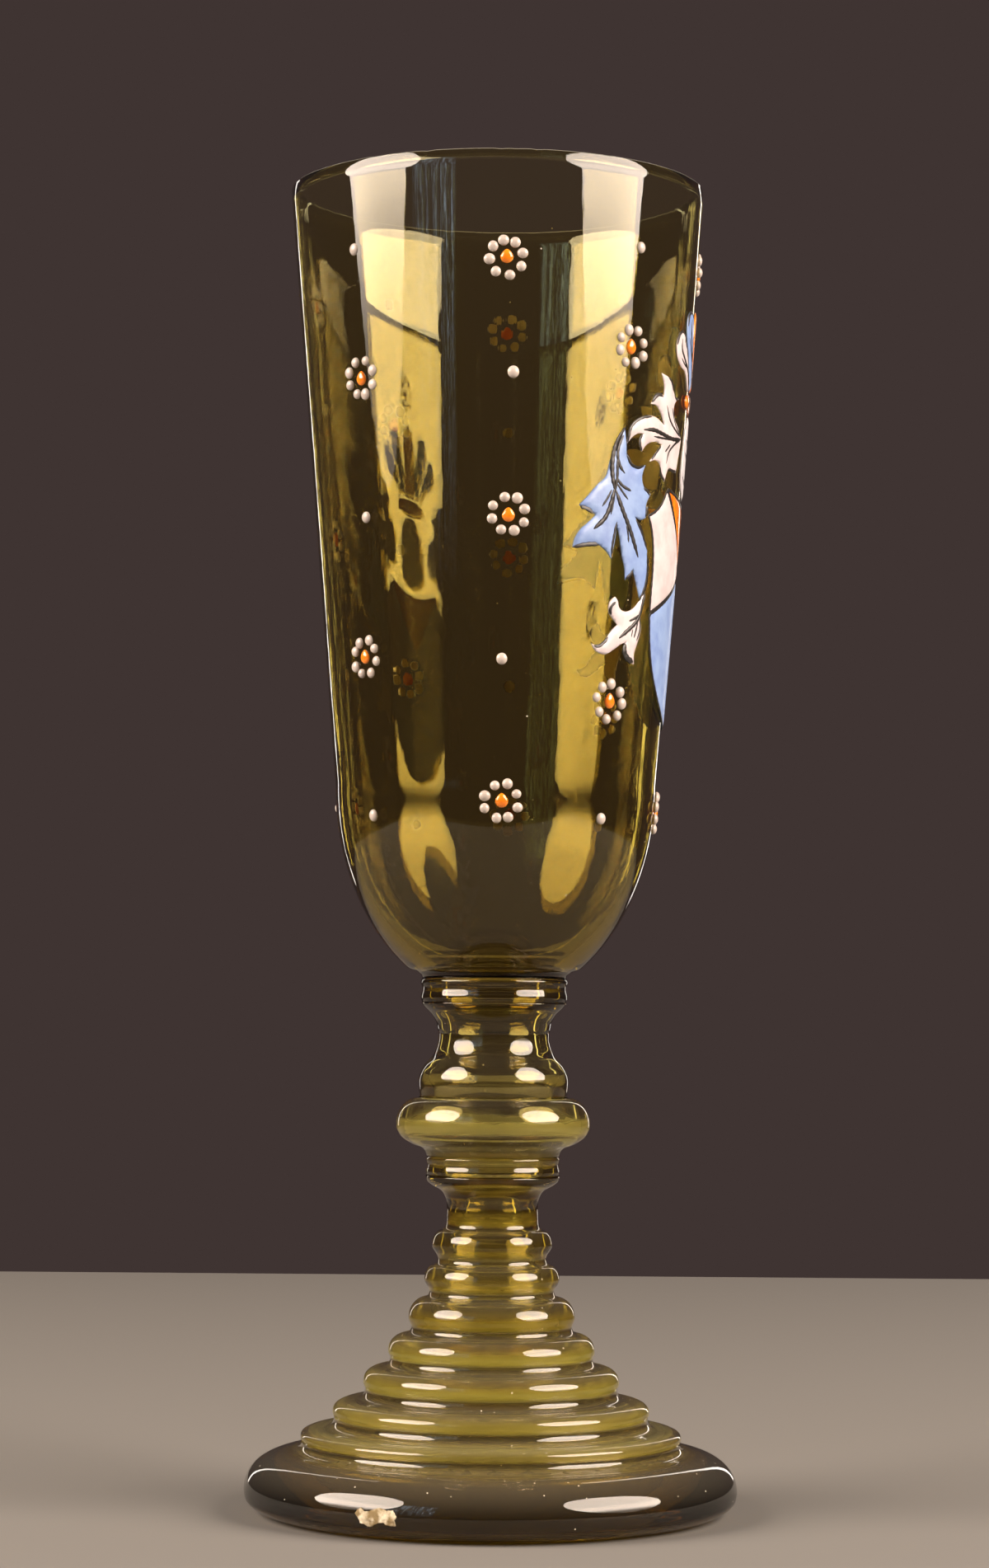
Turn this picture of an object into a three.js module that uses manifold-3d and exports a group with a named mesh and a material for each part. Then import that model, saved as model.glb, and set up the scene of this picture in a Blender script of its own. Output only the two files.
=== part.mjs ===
// Enamelled glass goblet: a tall tapered bowl on a hollow baluster stem and a hollow foot
// blown in steps, with bead flowers and a coat of arms in raised enamel round the bowl.
// Millimetres, +Z up. The origin is the centre of the foot's underside, and the bowl's
// armorial panel faces +X.
import * as THREE from "three";
import { mergeVertices } from "three/addons/utils/BufferGeometryUtils.js";
import Module from "manifold-3d";

const wasm = await Module();
wasm.setup();

// Bowl
const bowlHeight = 192;
const rimRadius = 49.8;
const shoulderRadius = 38.9; // where the straight side meets the rounded bottom
const shoulderHeight = 46.5; // above the bowl's seat
const bowlSeatRadius = 18;
const sideBow = 0.4; // how far the tapered side bows out
const rimWall = 1.8;
const shoulderWall = 2.8;
const bowlFloor = 4;

// Stem, from the bowl down
const bowlCollar = { height: 6, radius: 17.8, dish: 0.4, bore: 13 };
const baluster = { height: 22.7, bell: 18.1, waist: 13.3, setback: 0.2, wall: 2.2 };
const balusterFlare = bowlCollar.radius - baluster.setback; // it ends just inside the collar
const ringKnop = { height: 14.1, radius: 23.4, seat: 16, top: 18.1, bore: 14.7, wall: 2.4 };
const lowerCollar = { height: 4.8, radius: 16.1, dish: 0.3, bore: 12.4 };
const neck = { height: 12.6, radius: 11.1, spread: 0.8, lip: 16.2, wall: 2 };

// Foot: each ring has its largest radius, its height, how high up that radius lies, and how
// far the groove under it is cut in
const footRim = { radius: 59.3, height: 15.1, belly: 3.2, groove: 2.3, wall: 5 };
const lowestRing = { radius: 45.8, height: 5.4, belly: 1.0, groove: 0.7 };
const secondRing = { radius: 38.1, height: 6.9, belly: 1.8, groove: 0.6 };
const thirdRing = { radius: 30.8, height: 7.8, belly: 2.6, groove: 0.6 };
const fourthRing = { radius: 24.9, height: 7.7, belly: 2.4, groove: 0.6 };
const fifthRing = { radius: 20.1, height: 8.7, belly: 3.2, groove: 0.7 };
const sixthRing = { radius: 16.3, height: 7.8, belly: 3.8, groove: 1.5 };
const topRing = { radius: 14.5, height: 8.4, belly: 4.3, groove: 1.8 };
const footRings = [
  lowestRing, secondRing, thirdRing, fourthRing, fifthRing, sixthRing, topRing,
];
const footWall = 2;

// Enamel and paper lie just clear of the glass
const enamelGap = 0.1;
const beadRadius = 1.3;
const beadHeight = 0.85;
const beadCount = 8;
const flowerRadius = 4.3; // to the beads' centres
const heartWidth = 2.3;
const filmThickness = 0.25; // the clear flux that ties a flower together
const dotRadius = 1.4;
const paintThickness = 0.35;
const paperThickness = 0.25;

// Eight columns of flowers and dots, by shares of the bowl's height. Odd columns swap them.
const columnCount = 8;
const columnLean = 4.8; // degrees of drift over the bowl's height
const columnNudges = [2.2, -3.3, 0, 0.4, -4.3, -10, -15, -2]; // degrees, set by hand
const evenFlowers = [0.862, 0.559, 0.2135];
const evenDots = [0.727, 0.385];
const oddFlowers = [0.729, 0.391];
const oddDots = [0.891, 0.5625, 0.198];
const besideArmsFlowers = [0.771, 0.3385]; // moved apart by the mantling
const besideArmsDots = [0.898, 0.195];
const armsColumn = 2;
const flowerToPlume = 3.4; // bare glass between the arms and the flower over them
const flowerToPoint = 16; // and between the shield's point and the flower under it

// Armorial panel
const panelTurn = 91; // degrees, clockwise from the front
const panelShare = 0.505; // its middle, as a share of the bowl's height
const fieldGap = 0.5; // bare outline between two fields

// Facets round the wide pieces, the stem and a dot, and steps along the curves
const lathePrecision = 36;
const stemPrecision = 28;
const dotSides = 8;
const bottomSteps = 7;
const sideSteps = 5;
const ringSteps = 3;
const rimSteps = 5;
const knopSteps = 4;

const olive = { color: 0x6e6a2a, roughness: 0.05, metalness: 0, transparent: true, opacity: 0.55 };
const creamWhite = { color: 0xf1e7da, roughness: 0.4, metalness: 0 };
const periwinkle = { color: 0x8fa6e0, roughness: 0.45, metalness: 0 };
const amberOrange = { color: 0xe0781a, roughness: 0.25, metalness: 0 };
const paleGrey = { color: 0xc9c6cc, roughness: 0.4, metalness: 0 };
const paper = { color: 0xcabf9f, roughness: 0.9, metalness: 0 };

const goblet = new THREE.Group();

// Heights of the joints above the table
const ringsHeight = footRings.reduce((sum, ring) => sum + ring.height, footRim.height);
const footTop = ringsHeight + neck.height;
const knopSeat = footTop + lowerCollar.height;
const balusterSeat = knopSeat + ringKnop.height;
const collarSeat = balusterSeat + baluster.height;
const bowlSeat = collarSeat + bowlCollar.height;
const upBowl = (share) => bowlSeat + share * bowlHeight;
const panelHeight = upBowl(panelShare);

// Mesh tools

// A geometry with its doubled vertices merged and the flat triangles at its poles dropped.
function closed(geometry) {
  const bare = geometry.index ? geometry.toNonIndexed() : geometry;
  bare.deleteAttribute("normal");
  bare.deleteAttribute("uv");
  const merged = mergeVertices(bare, 1e-4);
  const corners = merged.index.array;
  const kept = [];
  for (let i = 0; i < corners.length; i += 3) {
    const [a, b, c] = corners.slice(i, i + 3);
    if (a !== b && b !== c && c !== a) kept.push(a, b, c);
  }
  merged.setIndex(kept);
  return merged;
}

// A solid of revolution about Z from [radius, height] points that run up the outside
// and down the inside.
function turned(profile, segments) {
  const points = profile.map(([radius, height]) => new THREE.Vector2(radius, height));
  const atAxis = points[0].x === 0 && points.at(-1).x === 0;
  if (!atAxis) points.push(points[0].clone());
  return closed(new THREE.LatheGeometry(points, segments).rotateX(Math.PI / 2));
}

function toManifold(geometry) {
  return new wasm.Manifold(
    new wasm.Mesh({
      numProp: 3,
      vertProperties: new Float32Array(geometry.attributes.position.array),
      triVerts: new Uint32Array(geometry.index.array),
    }),
  );
}

function toGeometry(solid) {
  const mesh = solid.getMesh();
  const geometry = new THREE.BufferGeometry();
  geometry.setAttribute("position", new THREE.BufferAttribute(mesh.vertProperties, 3));
  geometry.setIndex(Array.from(mesh.triVerts));
  return geometry;
}

function add(name, geometry, finish) {
  geometry.computeVertexNormals();
  const mesh = new THREE.Mesh(geometry, new THREE.MeshStandardMaterial(finish));
  mesh.name = name;
  goblet.add(mesh);
}

// Points on a quarter ellipse from one [radius, height] point to another. It leaves the
// first upright when the flag is set, and otherwise arrives at the second upright.
function quarterArc(from, to, steps, leavesUpright) {
  const arc = [];
  for (let i = 1; i <= steps; i++) {
    const turn = (i / steps) * (Math.PI / 2);
    const along = leavesUpright ? 1 - Math.cos(turn) : Math.sin(turn);
    const up = leavesUpright ? Math.sin(turn) : 1 - Math.cos(turn);
    arc.push([from[0] + (to[0] - from[0]) * along, from[1] + (to[1] - from[1]) * up]);
  }
  return arc;
}

// Bowl

// The tapered side from the shoulder to the rim, inset by its wall.
function bowlSide(lowInset, rimInset) {
  const side = [];
  for (let i = 0; i <= sideSteps; i++) {
    const t = i / sideSteps;
    const low = shoulderRadius - lowInset;
    const high = rimRadius - rimInset;
    const radius = low + (high - low) * t + sideBow * 4 * t * (1 - t);
    side.push([radius, bowlSeat + shoulderHeight + (bowlHeight - shoulderHeight) * t]);
  }
  return side;
}

// The outside from the seat to the rim: part of an ellipse, then the side.
function bowlOutside() {
  const seatTurn = Math.acos(bowlSeatRadius / shoulderRadius);
  const drop = shoulderHeight / Math.sin(seatTurn);
  const bottom = [];
  for (let i = 0; i < bottomSteps; i++) {
    const turn = seatTurn * (1 - i / bottomSteps);
    const height = bowlSeat + shoulderHeight - drop * Math.sin(turn);
    bottom.push([shoulderRadius * Math.cos(turn), height]);
  }
  return [...bottom, ...bowlSide(0, 0)];
}

// The inside from the rim down to the middle of the floor.
function bowlInside() {
  const radius = shoulderRadius - shoulderWall;
  const bottom = [];
  for (let i = 1; i <= bottomSteps; i++) {
    const turn = (i / bottomSteps) * (Math.PI / 2);
    const height = bowlSeat + shoulderHeight - (shoulderHeight - bowlFloor) * Math.sin(turn);
    bottom.push([i === bottomSteps ? 0 : radius * Math.cos(turn), height]);
  }
  return [...bowlSide(shoulderWall, rimWall).reverse(), ...bottom];
}

function makeBowl() {
  const profile = [[0, bowlSeat], ...bowlOutside(), ...bowlInside()];
  add("bowl", turned(profile, lathePrecision), olive);
}

// Stem

// A short band with a dished edge between two joints.
function makeCollar(name, seat, { height, radius, dish, bore }) {
  const profile = [
    [radius - dish, seat],
    [radius, seat + height * 0.2],
    [radius - dish, seat + height * 0.6],
    [radius, seat + height * 0.9],
    [radius - dish, seat + height],
    [bore, seat + height],
    [bore, seat],
  ];
  add(name, turned(profile, stemPrecision), olive);
}

// The bell, its waist and the flare that carries the bowl's collar. Each point is a radius
// and a share of the height.
function makeBaluster() {
  const { height, bell, waist, wall } = baluster;
  const outline = [
    [bell - 0.4, 0],
    [bell, 0.2],
    [bell - 1.2, 0.33],
    [waist + 1.2, 0.46],
    [waist, 0.65],
    [waist + 0.8, 0.81],
    [waist + 2, 0.89],
    [balusterFlare - 0.4, 0.975],
    [balusterFlare, 1],
  ];
  const hollow = [
    [bowlCollar.bore, 1],
    [waist - wall, 0.8],
    [waist - wall, 0.55],
    [bell - wall, 0.2],
    [ringKnop.bore, 0],
  ];
  const profile = [...outline, ...hollow];
  const placed = profile.map(([radius, share]) => [radius, balusterSeat + share * height]);
  add("baluster", turned(placed, stemPrecision), olive);
}

// The blown ring in the middle of the stem.
function makeRingKnop() {
  const { height, radius, seat, top, bore, wall } = ringKnop;
  const widest = [radius, knopSeat + height * 0.55];
  const low = [seat + 0.6, knopSeat + height * 0.1];
  const profile = [
    [seat, knopSeat],
    low,
    ...quarterArc(low, widest, knopSteps, false),
    ...quarterArc(widest, [top, balusterSeat], knopSteps, true),
    [bore, balusterSeat],
    [radius - wall, widest[1] + height * 0.1],
    [radius - wall, widest[1] - height * 0.1],
    [lowerCollar.bore, knopSeat],
  ];
  add("ring_knop", turned(profile, stemPrecision), olive);
}

// Foot

// The [radius, height] points of one ring, from the groove under it to just short of the
// groove above.
function ringSide(ring, base, grooveAbove, steps) {
  const grooveBelow = [ring.radius - ring.groove, base];
  const belly = [ring.radius, base + ring.belly];
  return [
    grooveBelow,
    belly,
    ...quarterArc(belly, [grooveAbove, base + ring.height], steps, true).slice(0, -1),
  ];
}

function footOutside() {
  const rings = [footRim, ...footRings];
  const side = [];
  let base = 0;
  rings.forEach((ring, i) => {
    const next = rings[i + 1];
    const grooveAbove = next ? next.radius - next.groove : neck.radius + neck.spread;
    side.push(...ringSide(ring, base, grooveAbove, next === footRings[0] ? rimSteps : ringSteps));
    base += ring.height;
  });
  return side;
}

// The neck's outline, as millimetres beyond its radius and shares of its height. The lip's
// reach beyond the neck sets the flare.
function neckOutside() {
  const reach = neck.lip - neck.radius;
  const outline = [
    [neck.spread, 0],
    [neck.spread * 0.4, 0.4],
    [0, 0.52],
    [reach * 0.18, 0.7],
    [reach * 0.75, 0.84],
    [reach * 0.9, 0.905],
    [reach, 1],
  ];
  return outline.map(([beyond, share]) => [
    neck.radius + beyond,
    ringsHeight + share * neck.height,
  ]);
}

// The hollow follows the grooves at a wall's distance and widens towards the rim.
function footInside() {
  const inside = [[footRim.radius - footRim.groove - footRim.wall, 0]];
  let base = footRim.height;
  for (const ring of footRings) {
    inside.push([ring.radius - ring.groove - footWall, base]);
    base += ring.height;
  }
  inside.push([neck.radius + neck.spread - neck.wall, base]);
  inside.push([neck.radius - neck.wall, base + neck.height * 0.55]);
  inside.push([lowerCollar.bore, footTop]);
  return inside.reverse();
}

function makeFoot() {
  const profile = [...footOutside(), ...neckOutside(), ...footInside()];
  add("foot", turned(profile, lathePrecision), olive);
}

// Relief on the glass

// The glass's outer radius at a height, read off its [radius, height] points.
function radiusAt(side, height) {
  let i = 1;
  while (i < side.length - 1 && side[i][1] < height) i++;
  const [lowRadius, lowHeight] = side[i - 1];
  const [highRadius, highHeight] = side[i];
  const t = (height - lowHeight) / (highHeight - lowHeight);
  return lowRadius + (highRadius - lowRadius) * t;
}

// How far the glass leans out at a height, in radians.
function leanAt(side, height) {
  const step = 0.5;
  return Math.atan((radiusAt(side, height + step) - radiusAt(side, height - step)) / (2 * step));
}

// A ring-shaped band that follows the glass at a distance, with the glass's own facets.
function skin(side, near, far) {
  const offset = (distance) => side.map(([radius, height]) => [radius + distance, height]);
  return toManifold(turned([...offset(far), ...offset(near).reverse()], lathePrecision));
}

// Turns and lifts a geometry whose own Z points away from the glass.
function stoodAt(geometry, turn, height) {
  const frame = new THREE.Matrix4().makeBasis(
    new THREE.Vector3(Math.cos(turn), Math.sin(turn), 0),
    new THREE.Vector3(0, 0, 1),
    new THREE.Vector3(Math.sin(turn), -Math.cos(turn), 0),
  );
  return geometry.applyMatrix4(frame.setPosition(0, 0, height));
}

// An outline in millimetres along and up the glass, as a prism that crosses its wall.
function prism(outline, side, turn, height) {
  const points = outline.map(([along, up]) => {
    const radius = radiusAt(side, height + up);
    return new THREE.Vector2(radius * Math.sin(along / radius), up);
  });
  const depth = side.reduce((most, [radius]) => Math.max(most, radius), 0) * 1.2;
  const flat = new THREE.ExtrudeGeometry(new THREE.Shape(points), {
    depth,
    bevelEnabled: false,
  });
  return toManifold(closed(stoodAt(flat, turn, height)));
}

const bowlFace = bowlOutside();
const paintSkin = skin(bowlFace, enamelGap, enamelGap + paintThickness);

// Sets a low piece on the bowl, leaning as the glass does there.
function setOnBowl(piece, turn, height) {
  piece.rotateX(leanAt(bowlFace, height)).translate(0, 0, radiusAt(bowlFace, height) + enamelGap);
  return stoodAt(piece, turn, height);
}

// A disc that swells into a heart and a ring of beads. Its rim draws in between them.
function rosette() {
  const rim = flowerRadius + beadRadius;
  const side = [
    [0, 0],
    [rim, 0],
    [rim, filmThickness],
    [flowerRadius, beadHeight],
    [flowerRadius - beadRadius, filmThickness],
    [heartWidth / 2, filmThickness],
    [0, beadHeight],
  ];
  const disc = turned(side, 2 * beadCount);
  const place = disc.attributes.position;
  for (let i = 0; i < place.count; i++) {
    const [x, y, z] = [place.getX(i), place.getY(i), place.getZ(i)];
    const reach = Math.hypot(x, y);
    if (reach < flowerRadius - 0.01) continue;
    const swell = (1 + Math.cos(beadCount * Math.atan2(y, x))) / 2;
    const drawn = reach > flowerRadius + 0.01 ? (flowerRadius + beadRadius * (0.3 + 0.7 * swell)) / rim : 1;
    const height = z > filmThickness + 0.01 ? filmThickness + (z - filmThickness) * swell : z;
    place.setXYZ(i, x * drawn, y * drawn, height);
  }
  return disc;
}

function makeFlower(name, turn, height) {
  add(name, setOnBowl(rosette(), turn, height), creamWhite);
}

function makeDot(name, turn, height) {
  const dome = turned([[0, 0], [1, 0], [0.75, 0.65], [0, 1]], dotSides);
  add(name, setOnBowl(dome.scale(dotRadius, dotRadius, beadHeight), turn, height), creamWhite);
}

// Where a column stands at a height, as an angle from the front.
function columnTurn(column, height) {
  const lean = ((height - bowlSeat) / bowlHeight - panelShare) * columnLean;
  return THREE.MathUtils.degToRad((360 / columnCount) * column + columnNudges[column] + lean);
}

// The heights of a column's flowers and of its dots.
function columnHeights(column) {
  const flowerReach = flowerRadius + beadRadius;
  const overArms = panelHeight + plumeTop + flowerToPlume + flowerReach;
  const underArms = panelHeight + shield.point - flowerToPoint - flowerReach;
  if (column === armsColumn) return [[overArms, underArms], []];
  const besideArms = Math.abs(column - armsColumn) === 1;
  if (besideArms) return [besideArmsFlowers.map(upBowl), besideArmsDots.map(upBowl)];
  if (column % 2) return [oddFlowers.map(upBowl), oddDots.map(upBowl)];
  return [evenFlowers.map(upBowl), evenDots.map(upBowl)];
}

function makeColumns() {
  let flowers = 0;
  let dots = 0;
  for (let column = 0; column < columnCount; column++) {
    const [flowerHeights, dotHeights] = columnHeights(column);
    for (const height of flowerHeights) {
      flowers += 1;
      makeFlower(`bead_flower_${flowers}`, columnTurn(column, height), height);
    }
    for (const height of dotHeights) {
      dots += 1;
      makeDot(`enamel_dot_${dots}`, columnTurn(column, height), height);
    }
  }
}

// Armorial panel. Outlines are in millimetres right of and above the panel's middle, and the
// pieces of the left side are mirrored on the right.
const shield = {
  halfWidth: 24.2,
  ear: 28.6, // how far the upper corners reach
  earHeight: 12.6,
  shoulder: 20.5,
  shoulderHeight: 20,
  crownHeight: 17.5,
  flank: -9,
  cornerDrop: 8, // from the flank down to where the diagonal meets the edge
  bellyDrop: 16, // from the flank down to the curve towards the point
  point: -35,
  crossing: 1, // height at which the four fields meet
};

const mantling = {
  white_leaf: [
    [-13.5, 33.1], [-19.4, 37], [-20.2, 40.1], [-17.8, 42], [-21.7, 43.2], [-23.8, 45.7],
    [-28.5, 46.6], [-26.5, 41.5], [-30.1, 41.3], [-31.8, 38.9], [-27.8, 37.7], [-25.1, 34.7],
    [-29.7, 36], [-34.9, 35.3], [-38.2, 33.7], [-38.6, 28.6], [-35.5, 30.2], [-32.4, 32],
    [-32.2, 28.2], [-28.5, 29.4], [-25.4, 30], [-30.2, 25.3], [-25.6, 25.2], [-22.4, 21.4],
    [-21.1, 23.6], [-17.5, 27],
  ],
  blue_leaf: [
    [-40.2, 31.6], [-43, 24.3], [-46.3, 18.2], [-50.5, 13.2], [-45.8, 11.2], [-49.7, 7.3],
    [-50.9, 3.2], [-44.9, 4.7], [-39.9, 1.4], [-40.1, 8.5], [-36.5, 2], [-34.8, -3.3],
    [-32.4, -1.4], [-28.8, -7.2], [-26.9, -2.1], [-27.2, 4.2], [-34.2, 11.9], [-29.4, 12],
    [-28.4, 17.6], [-32.4, 24.2], [-36.6, 23.4], [-38.9, 26.6],
  ],
  lower_leaf: [
    [-27.6, -7.4], [-30.4, -9.8], [-34.6, -8], [-37.4, -7.6], [-38.5, -11.3], [-36.6, -13.8],
    [-38.8, -17.7], [-42.7, -18.9], [-40.8, -20.7], [-35.6, -20.3], [-32, -19.6],
    [-28.5, -22.4], [-26.6, -18.6], [-27.2, -12],
  ],
};

const plumes = {
  white_plume: [
    [-9.6, 45], [-14.8, 49.6], [-20, 51.2], [-21.6, 54.6], [-19.6, 58], [-15.6, 56.8],
    [-12.4, 52.4], [-8.6, 46.6],
  ],
  blue_plume: [
    [-7.6, 46], [-11, 53], [-14.4, 57.6], [-15, 61.6], [-11.6, 63.6], [-7.8, 61],
    [-5.4, 54], [-4, 46],
  ],
};
const plumeTop = 66.4;
const centrePlume = [
  [-3.2, 46], [-4.6, 56], [-4.4, 62], [-1.6, 66], [3.4, plumeTop], [4.8, 61], [3.8, 54], [3.2, 46],
];
const torse = [
  [-11, 41.4], [-10.6, 43.6], [-5.4, 44.8], [0, 45.2], [5.4, 44.8], [10.6, 43.6],
  [11, 41.4], [5.6, 40.6], [0, 40.4], [-5.6, 40.6],
];
const helm = [
  [-8, 21.6], [-9.6, 26], [-8.4, 33], [-6.6, 38], [-3.4, 39.8], [3.4, 39.8], [6.6, 38],
  [8.4, 33], [9.6, 26], [8, 21.6], [0, 19.4],
];

const mirrored = (outline) => outline.map(([along, up]) => [-along, up]).reverse();

// The four fields of a shield parted by its diagonals, each set back from the bare lines.
function shieldFields() {
  const s = shield;
  const g = fieldGap;
  const rightEdge = [[s.ear, s.earHeight], [s.halfWidth, s.flank]];
  const chief = [
    [-s.shoulder + g, s.shoulderHeight], [0, s.crossing + g], [s.shoulder - g, s.shoulderHeight],
    [s.shoulder * 0.5, s.crownHeight + 0.6], [0, s.crownHeight], [-s.shoulder * 0.5, s.crownHeight + 0.6],
  ];
  const flank = [
    [g, s.crossing], [s.halfWidth * 0.84, s.flank - s.cornerDrop], [s.halfWidth - 0.6, s.flank - 2],
    rightEdge[1], [s.halfWidth, 0], rightEdge[0], [s.shoulder + 2.6, s.earHeight + 3],
    [s.shoulder, s.shoulderHeight - g],
  ];
  const base = [
    [0, s.crossing - g], [-s.halfWidth * 0.84 + g, s.flank - s.cornerDrop - g], [-s.halfWidth * 0.6, s.flank - s.bellyDrop],
    [0, s.point], [s.halfWidth * 0.6, s.flank - s.bellyDrop], [s.halfWidth * 0.84 - g, s.flank - s.cornerDrop - g],
  ];
  return { chief, flank, base };
}

function makePaint(name, outline, finish) {
  const turn = THREE.MathUtils.degToRad(panelTurn);
  const middle = outline.reduce((sum, [along]) => sum + along, 0) / outline.length;
  const pieceTurn = turn + middle / radiusAt(bowlFace, panelHeight);
  // Each piece is cut square to the glass under its own middle
  const centred = outline.map(([along, up]) => {
    const radius = radiusAt(bowlFace, panelHeight + up);
    return [along - middle * (radius / radiusAt(bowlFace, panelHeight)), up];
  });
  const solid = prism(centred, bowlFace, pieceTurn, panelHeight).intersect(paintSkin);
  add(name, toGeometry(solid), finish);
}

function makePair(name, outline, finish) {
  makePaint(`left_${name}`, outline, finish);
  makePaint(`right_${name}`, mirrored(outline), finish);
}

function makeArms() {
  const { chief, flank, base } = shieldFields();
  makePaint("shield_chief", chief, amberOrange);
  makePaint("left_shield_flank", mirrored(flank), creamWhite);
  makePaint("right_shield_flank", flank, creamWhite);
  makePaint("shield_base", base, periwinkle);
  makePair("white_leaf", mantling.white_leaf, creamWhite);
  makePair("blue_leaf", mantling.blue_leaf, periwinkle);
  makePair("lower_leaf", mantling.lower_leaf, creamWhite);
  makePair("white_plume", plumes.white_plume, creamWhite);
  makePair("blue_plume", plumes.blue_plume, periwinkle);
  makePaint("centre_plume", centrePlume, amberOrange);
  makePaint("torse", torse, amberOrange);
  makePaint("helm", helm, paleGrey);
}

// The torn scrap of plain paper that is left on the rim of the foot
const scrap = { turn: -25.6, share: 0.32, outline: [
  [-5.6, 0.6], [-4.8, 2], [-1.2, 1.5], [0.6, 2.3], [3.9, 1.7], [4.7, 0.2], [3.2, -1.6],
  [0.3, -1.2], [-2.4, -2.1], [-4.3, -1.2],
] };

function makeScrap() {
  const rimFace = footOutside().filter(([, height]) => height <= footRim.height);
  const film = skin(rimFace, enamelGap, enamelGap + paperThickness);
  const turn = THREE.MathUtils.degToRad(scrap.turn);
  const height = scrap.share * footRim.height;
  const solid = prism(scrap.outline, rimFace, turn, height).intersect(film);
  add("label_scrap", toGeometry(solid), paper);
}

makeBowl();
makeCollar("bowl_collar", collarSeat, bowlCollar);
makeBaluster();
makeRingKnop();
makeCollar("lower_collar", footTop, lowerCollar);
makeFoot();
makeColumns();
makeArms();
makeScrap();

export default goblet;
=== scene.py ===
import math
import random

import bmesh
import bpy
from mathutils import Matrix, Vector, kdtree, noise


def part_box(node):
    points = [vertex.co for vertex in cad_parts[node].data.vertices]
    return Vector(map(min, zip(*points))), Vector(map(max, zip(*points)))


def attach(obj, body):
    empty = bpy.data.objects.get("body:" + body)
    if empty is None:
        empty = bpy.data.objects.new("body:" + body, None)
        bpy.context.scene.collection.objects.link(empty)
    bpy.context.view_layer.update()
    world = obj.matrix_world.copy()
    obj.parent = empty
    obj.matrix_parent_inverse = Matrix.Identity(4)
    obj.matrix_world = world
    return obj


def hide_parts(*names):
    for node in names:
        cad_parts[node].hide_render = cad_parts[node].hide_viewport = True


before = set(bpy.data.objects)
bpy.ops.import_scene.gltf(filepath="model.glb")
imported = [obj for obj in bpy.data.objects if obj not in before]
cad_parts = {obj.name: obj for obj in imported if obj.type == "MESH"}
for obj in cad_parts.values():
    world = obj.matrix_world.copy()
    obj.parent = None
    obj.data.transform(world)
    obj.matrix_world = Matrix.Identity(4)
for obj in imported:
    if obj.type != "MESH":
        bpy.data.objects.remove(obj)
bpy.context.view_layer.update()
mm = 0.001
print("frame loaded")

# Camera: an 85 mm lens 0.9 m away, level with the goblet's stem and looking up a little

camera = {"distance": 898, "height": 123.2, "aside": -0.3, "lens": 85, "pitch": 3.31, "roll": 0.45}

cameraData = bpy.data.cameras.new("camera")
cameraData.lens = camera["lens"]
cameraData.sensor_width = 36
cameraObject = bpy.data.objects.new("camera", cameraData)
bpy.context.scene.collection.objects.link(cameraObject)
cameraObject.matrix_world = (
    Matrix.Translation(Vector((camera["aside"], -camera["distance"], camera["height"])) * mm)
    @ Matrix.Rotation(math.radians(90 + camera["pitch"]), 4, "X")
    @ Matrix.Rotation(math.radians(camera["roll"]), 4, "Z")
)
bpy.context.scene.camera = cameraObject


# Materials

def linear(hexColour):
    channels = [int(hexColour[i:i + 2], 16) / 255 for i in (0, 2, 4)]
    return tuple(c / 12.92 if c <= 0.04045 else ((c + 0.055) / 1.055) ** 2.4 for c in channels) + (1,)


# Adds a node. Inputs are keyed by name or number. A socket becomes a link, and so does a node, from
# its first output.
def addNode(tree, kind, inputs=None, **settings):
    node = tree.nodes.new("ShaderNode" + kind)
    for name, value in settings.items():
        setattr(node, name, value)
    for name, value in (inputs or {}).items():
        if isinstance(value, bpy.types.Node):
            value = value.outputs[0]
        if isinstance(value, bpy.types.NodeSocket):
            tree.links.new(value, node.inputs[name])
        else:
            node.inputs[name].default_value = value
    return node


def emptyMaterial(name):
    material = bpy.data.materials.new(name)
    material.use_nodes = True
    material.node_tree.nodes.clear()
    return material, material.node_tree


blownGlass = {
    "amber": "e2d645",  # what a few millimetres let through
    "density": 400,  # per metre
    "ior": 1.52,
    "roughness": 0.012,
    "ripple": 0.05, "rippleSize": 9.09,  # height and width in millimetres
    "cords": 0.009, "cordSize": 1.11,
    "film": "c4cca4", "filmRoughness": 0.6,  # old dust inside the stem and foot
    "filmShare": (0.8, 0.92), "streakSize": 3.125,  # how well it covers between and in its streaks
    "speck": "cfc6b4", "speckSpacing": 2.38,
    "dust": "b09c40",
    "haze": 0.1,  # how thickly fine dust lies on the foot's ledges
}


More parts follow.
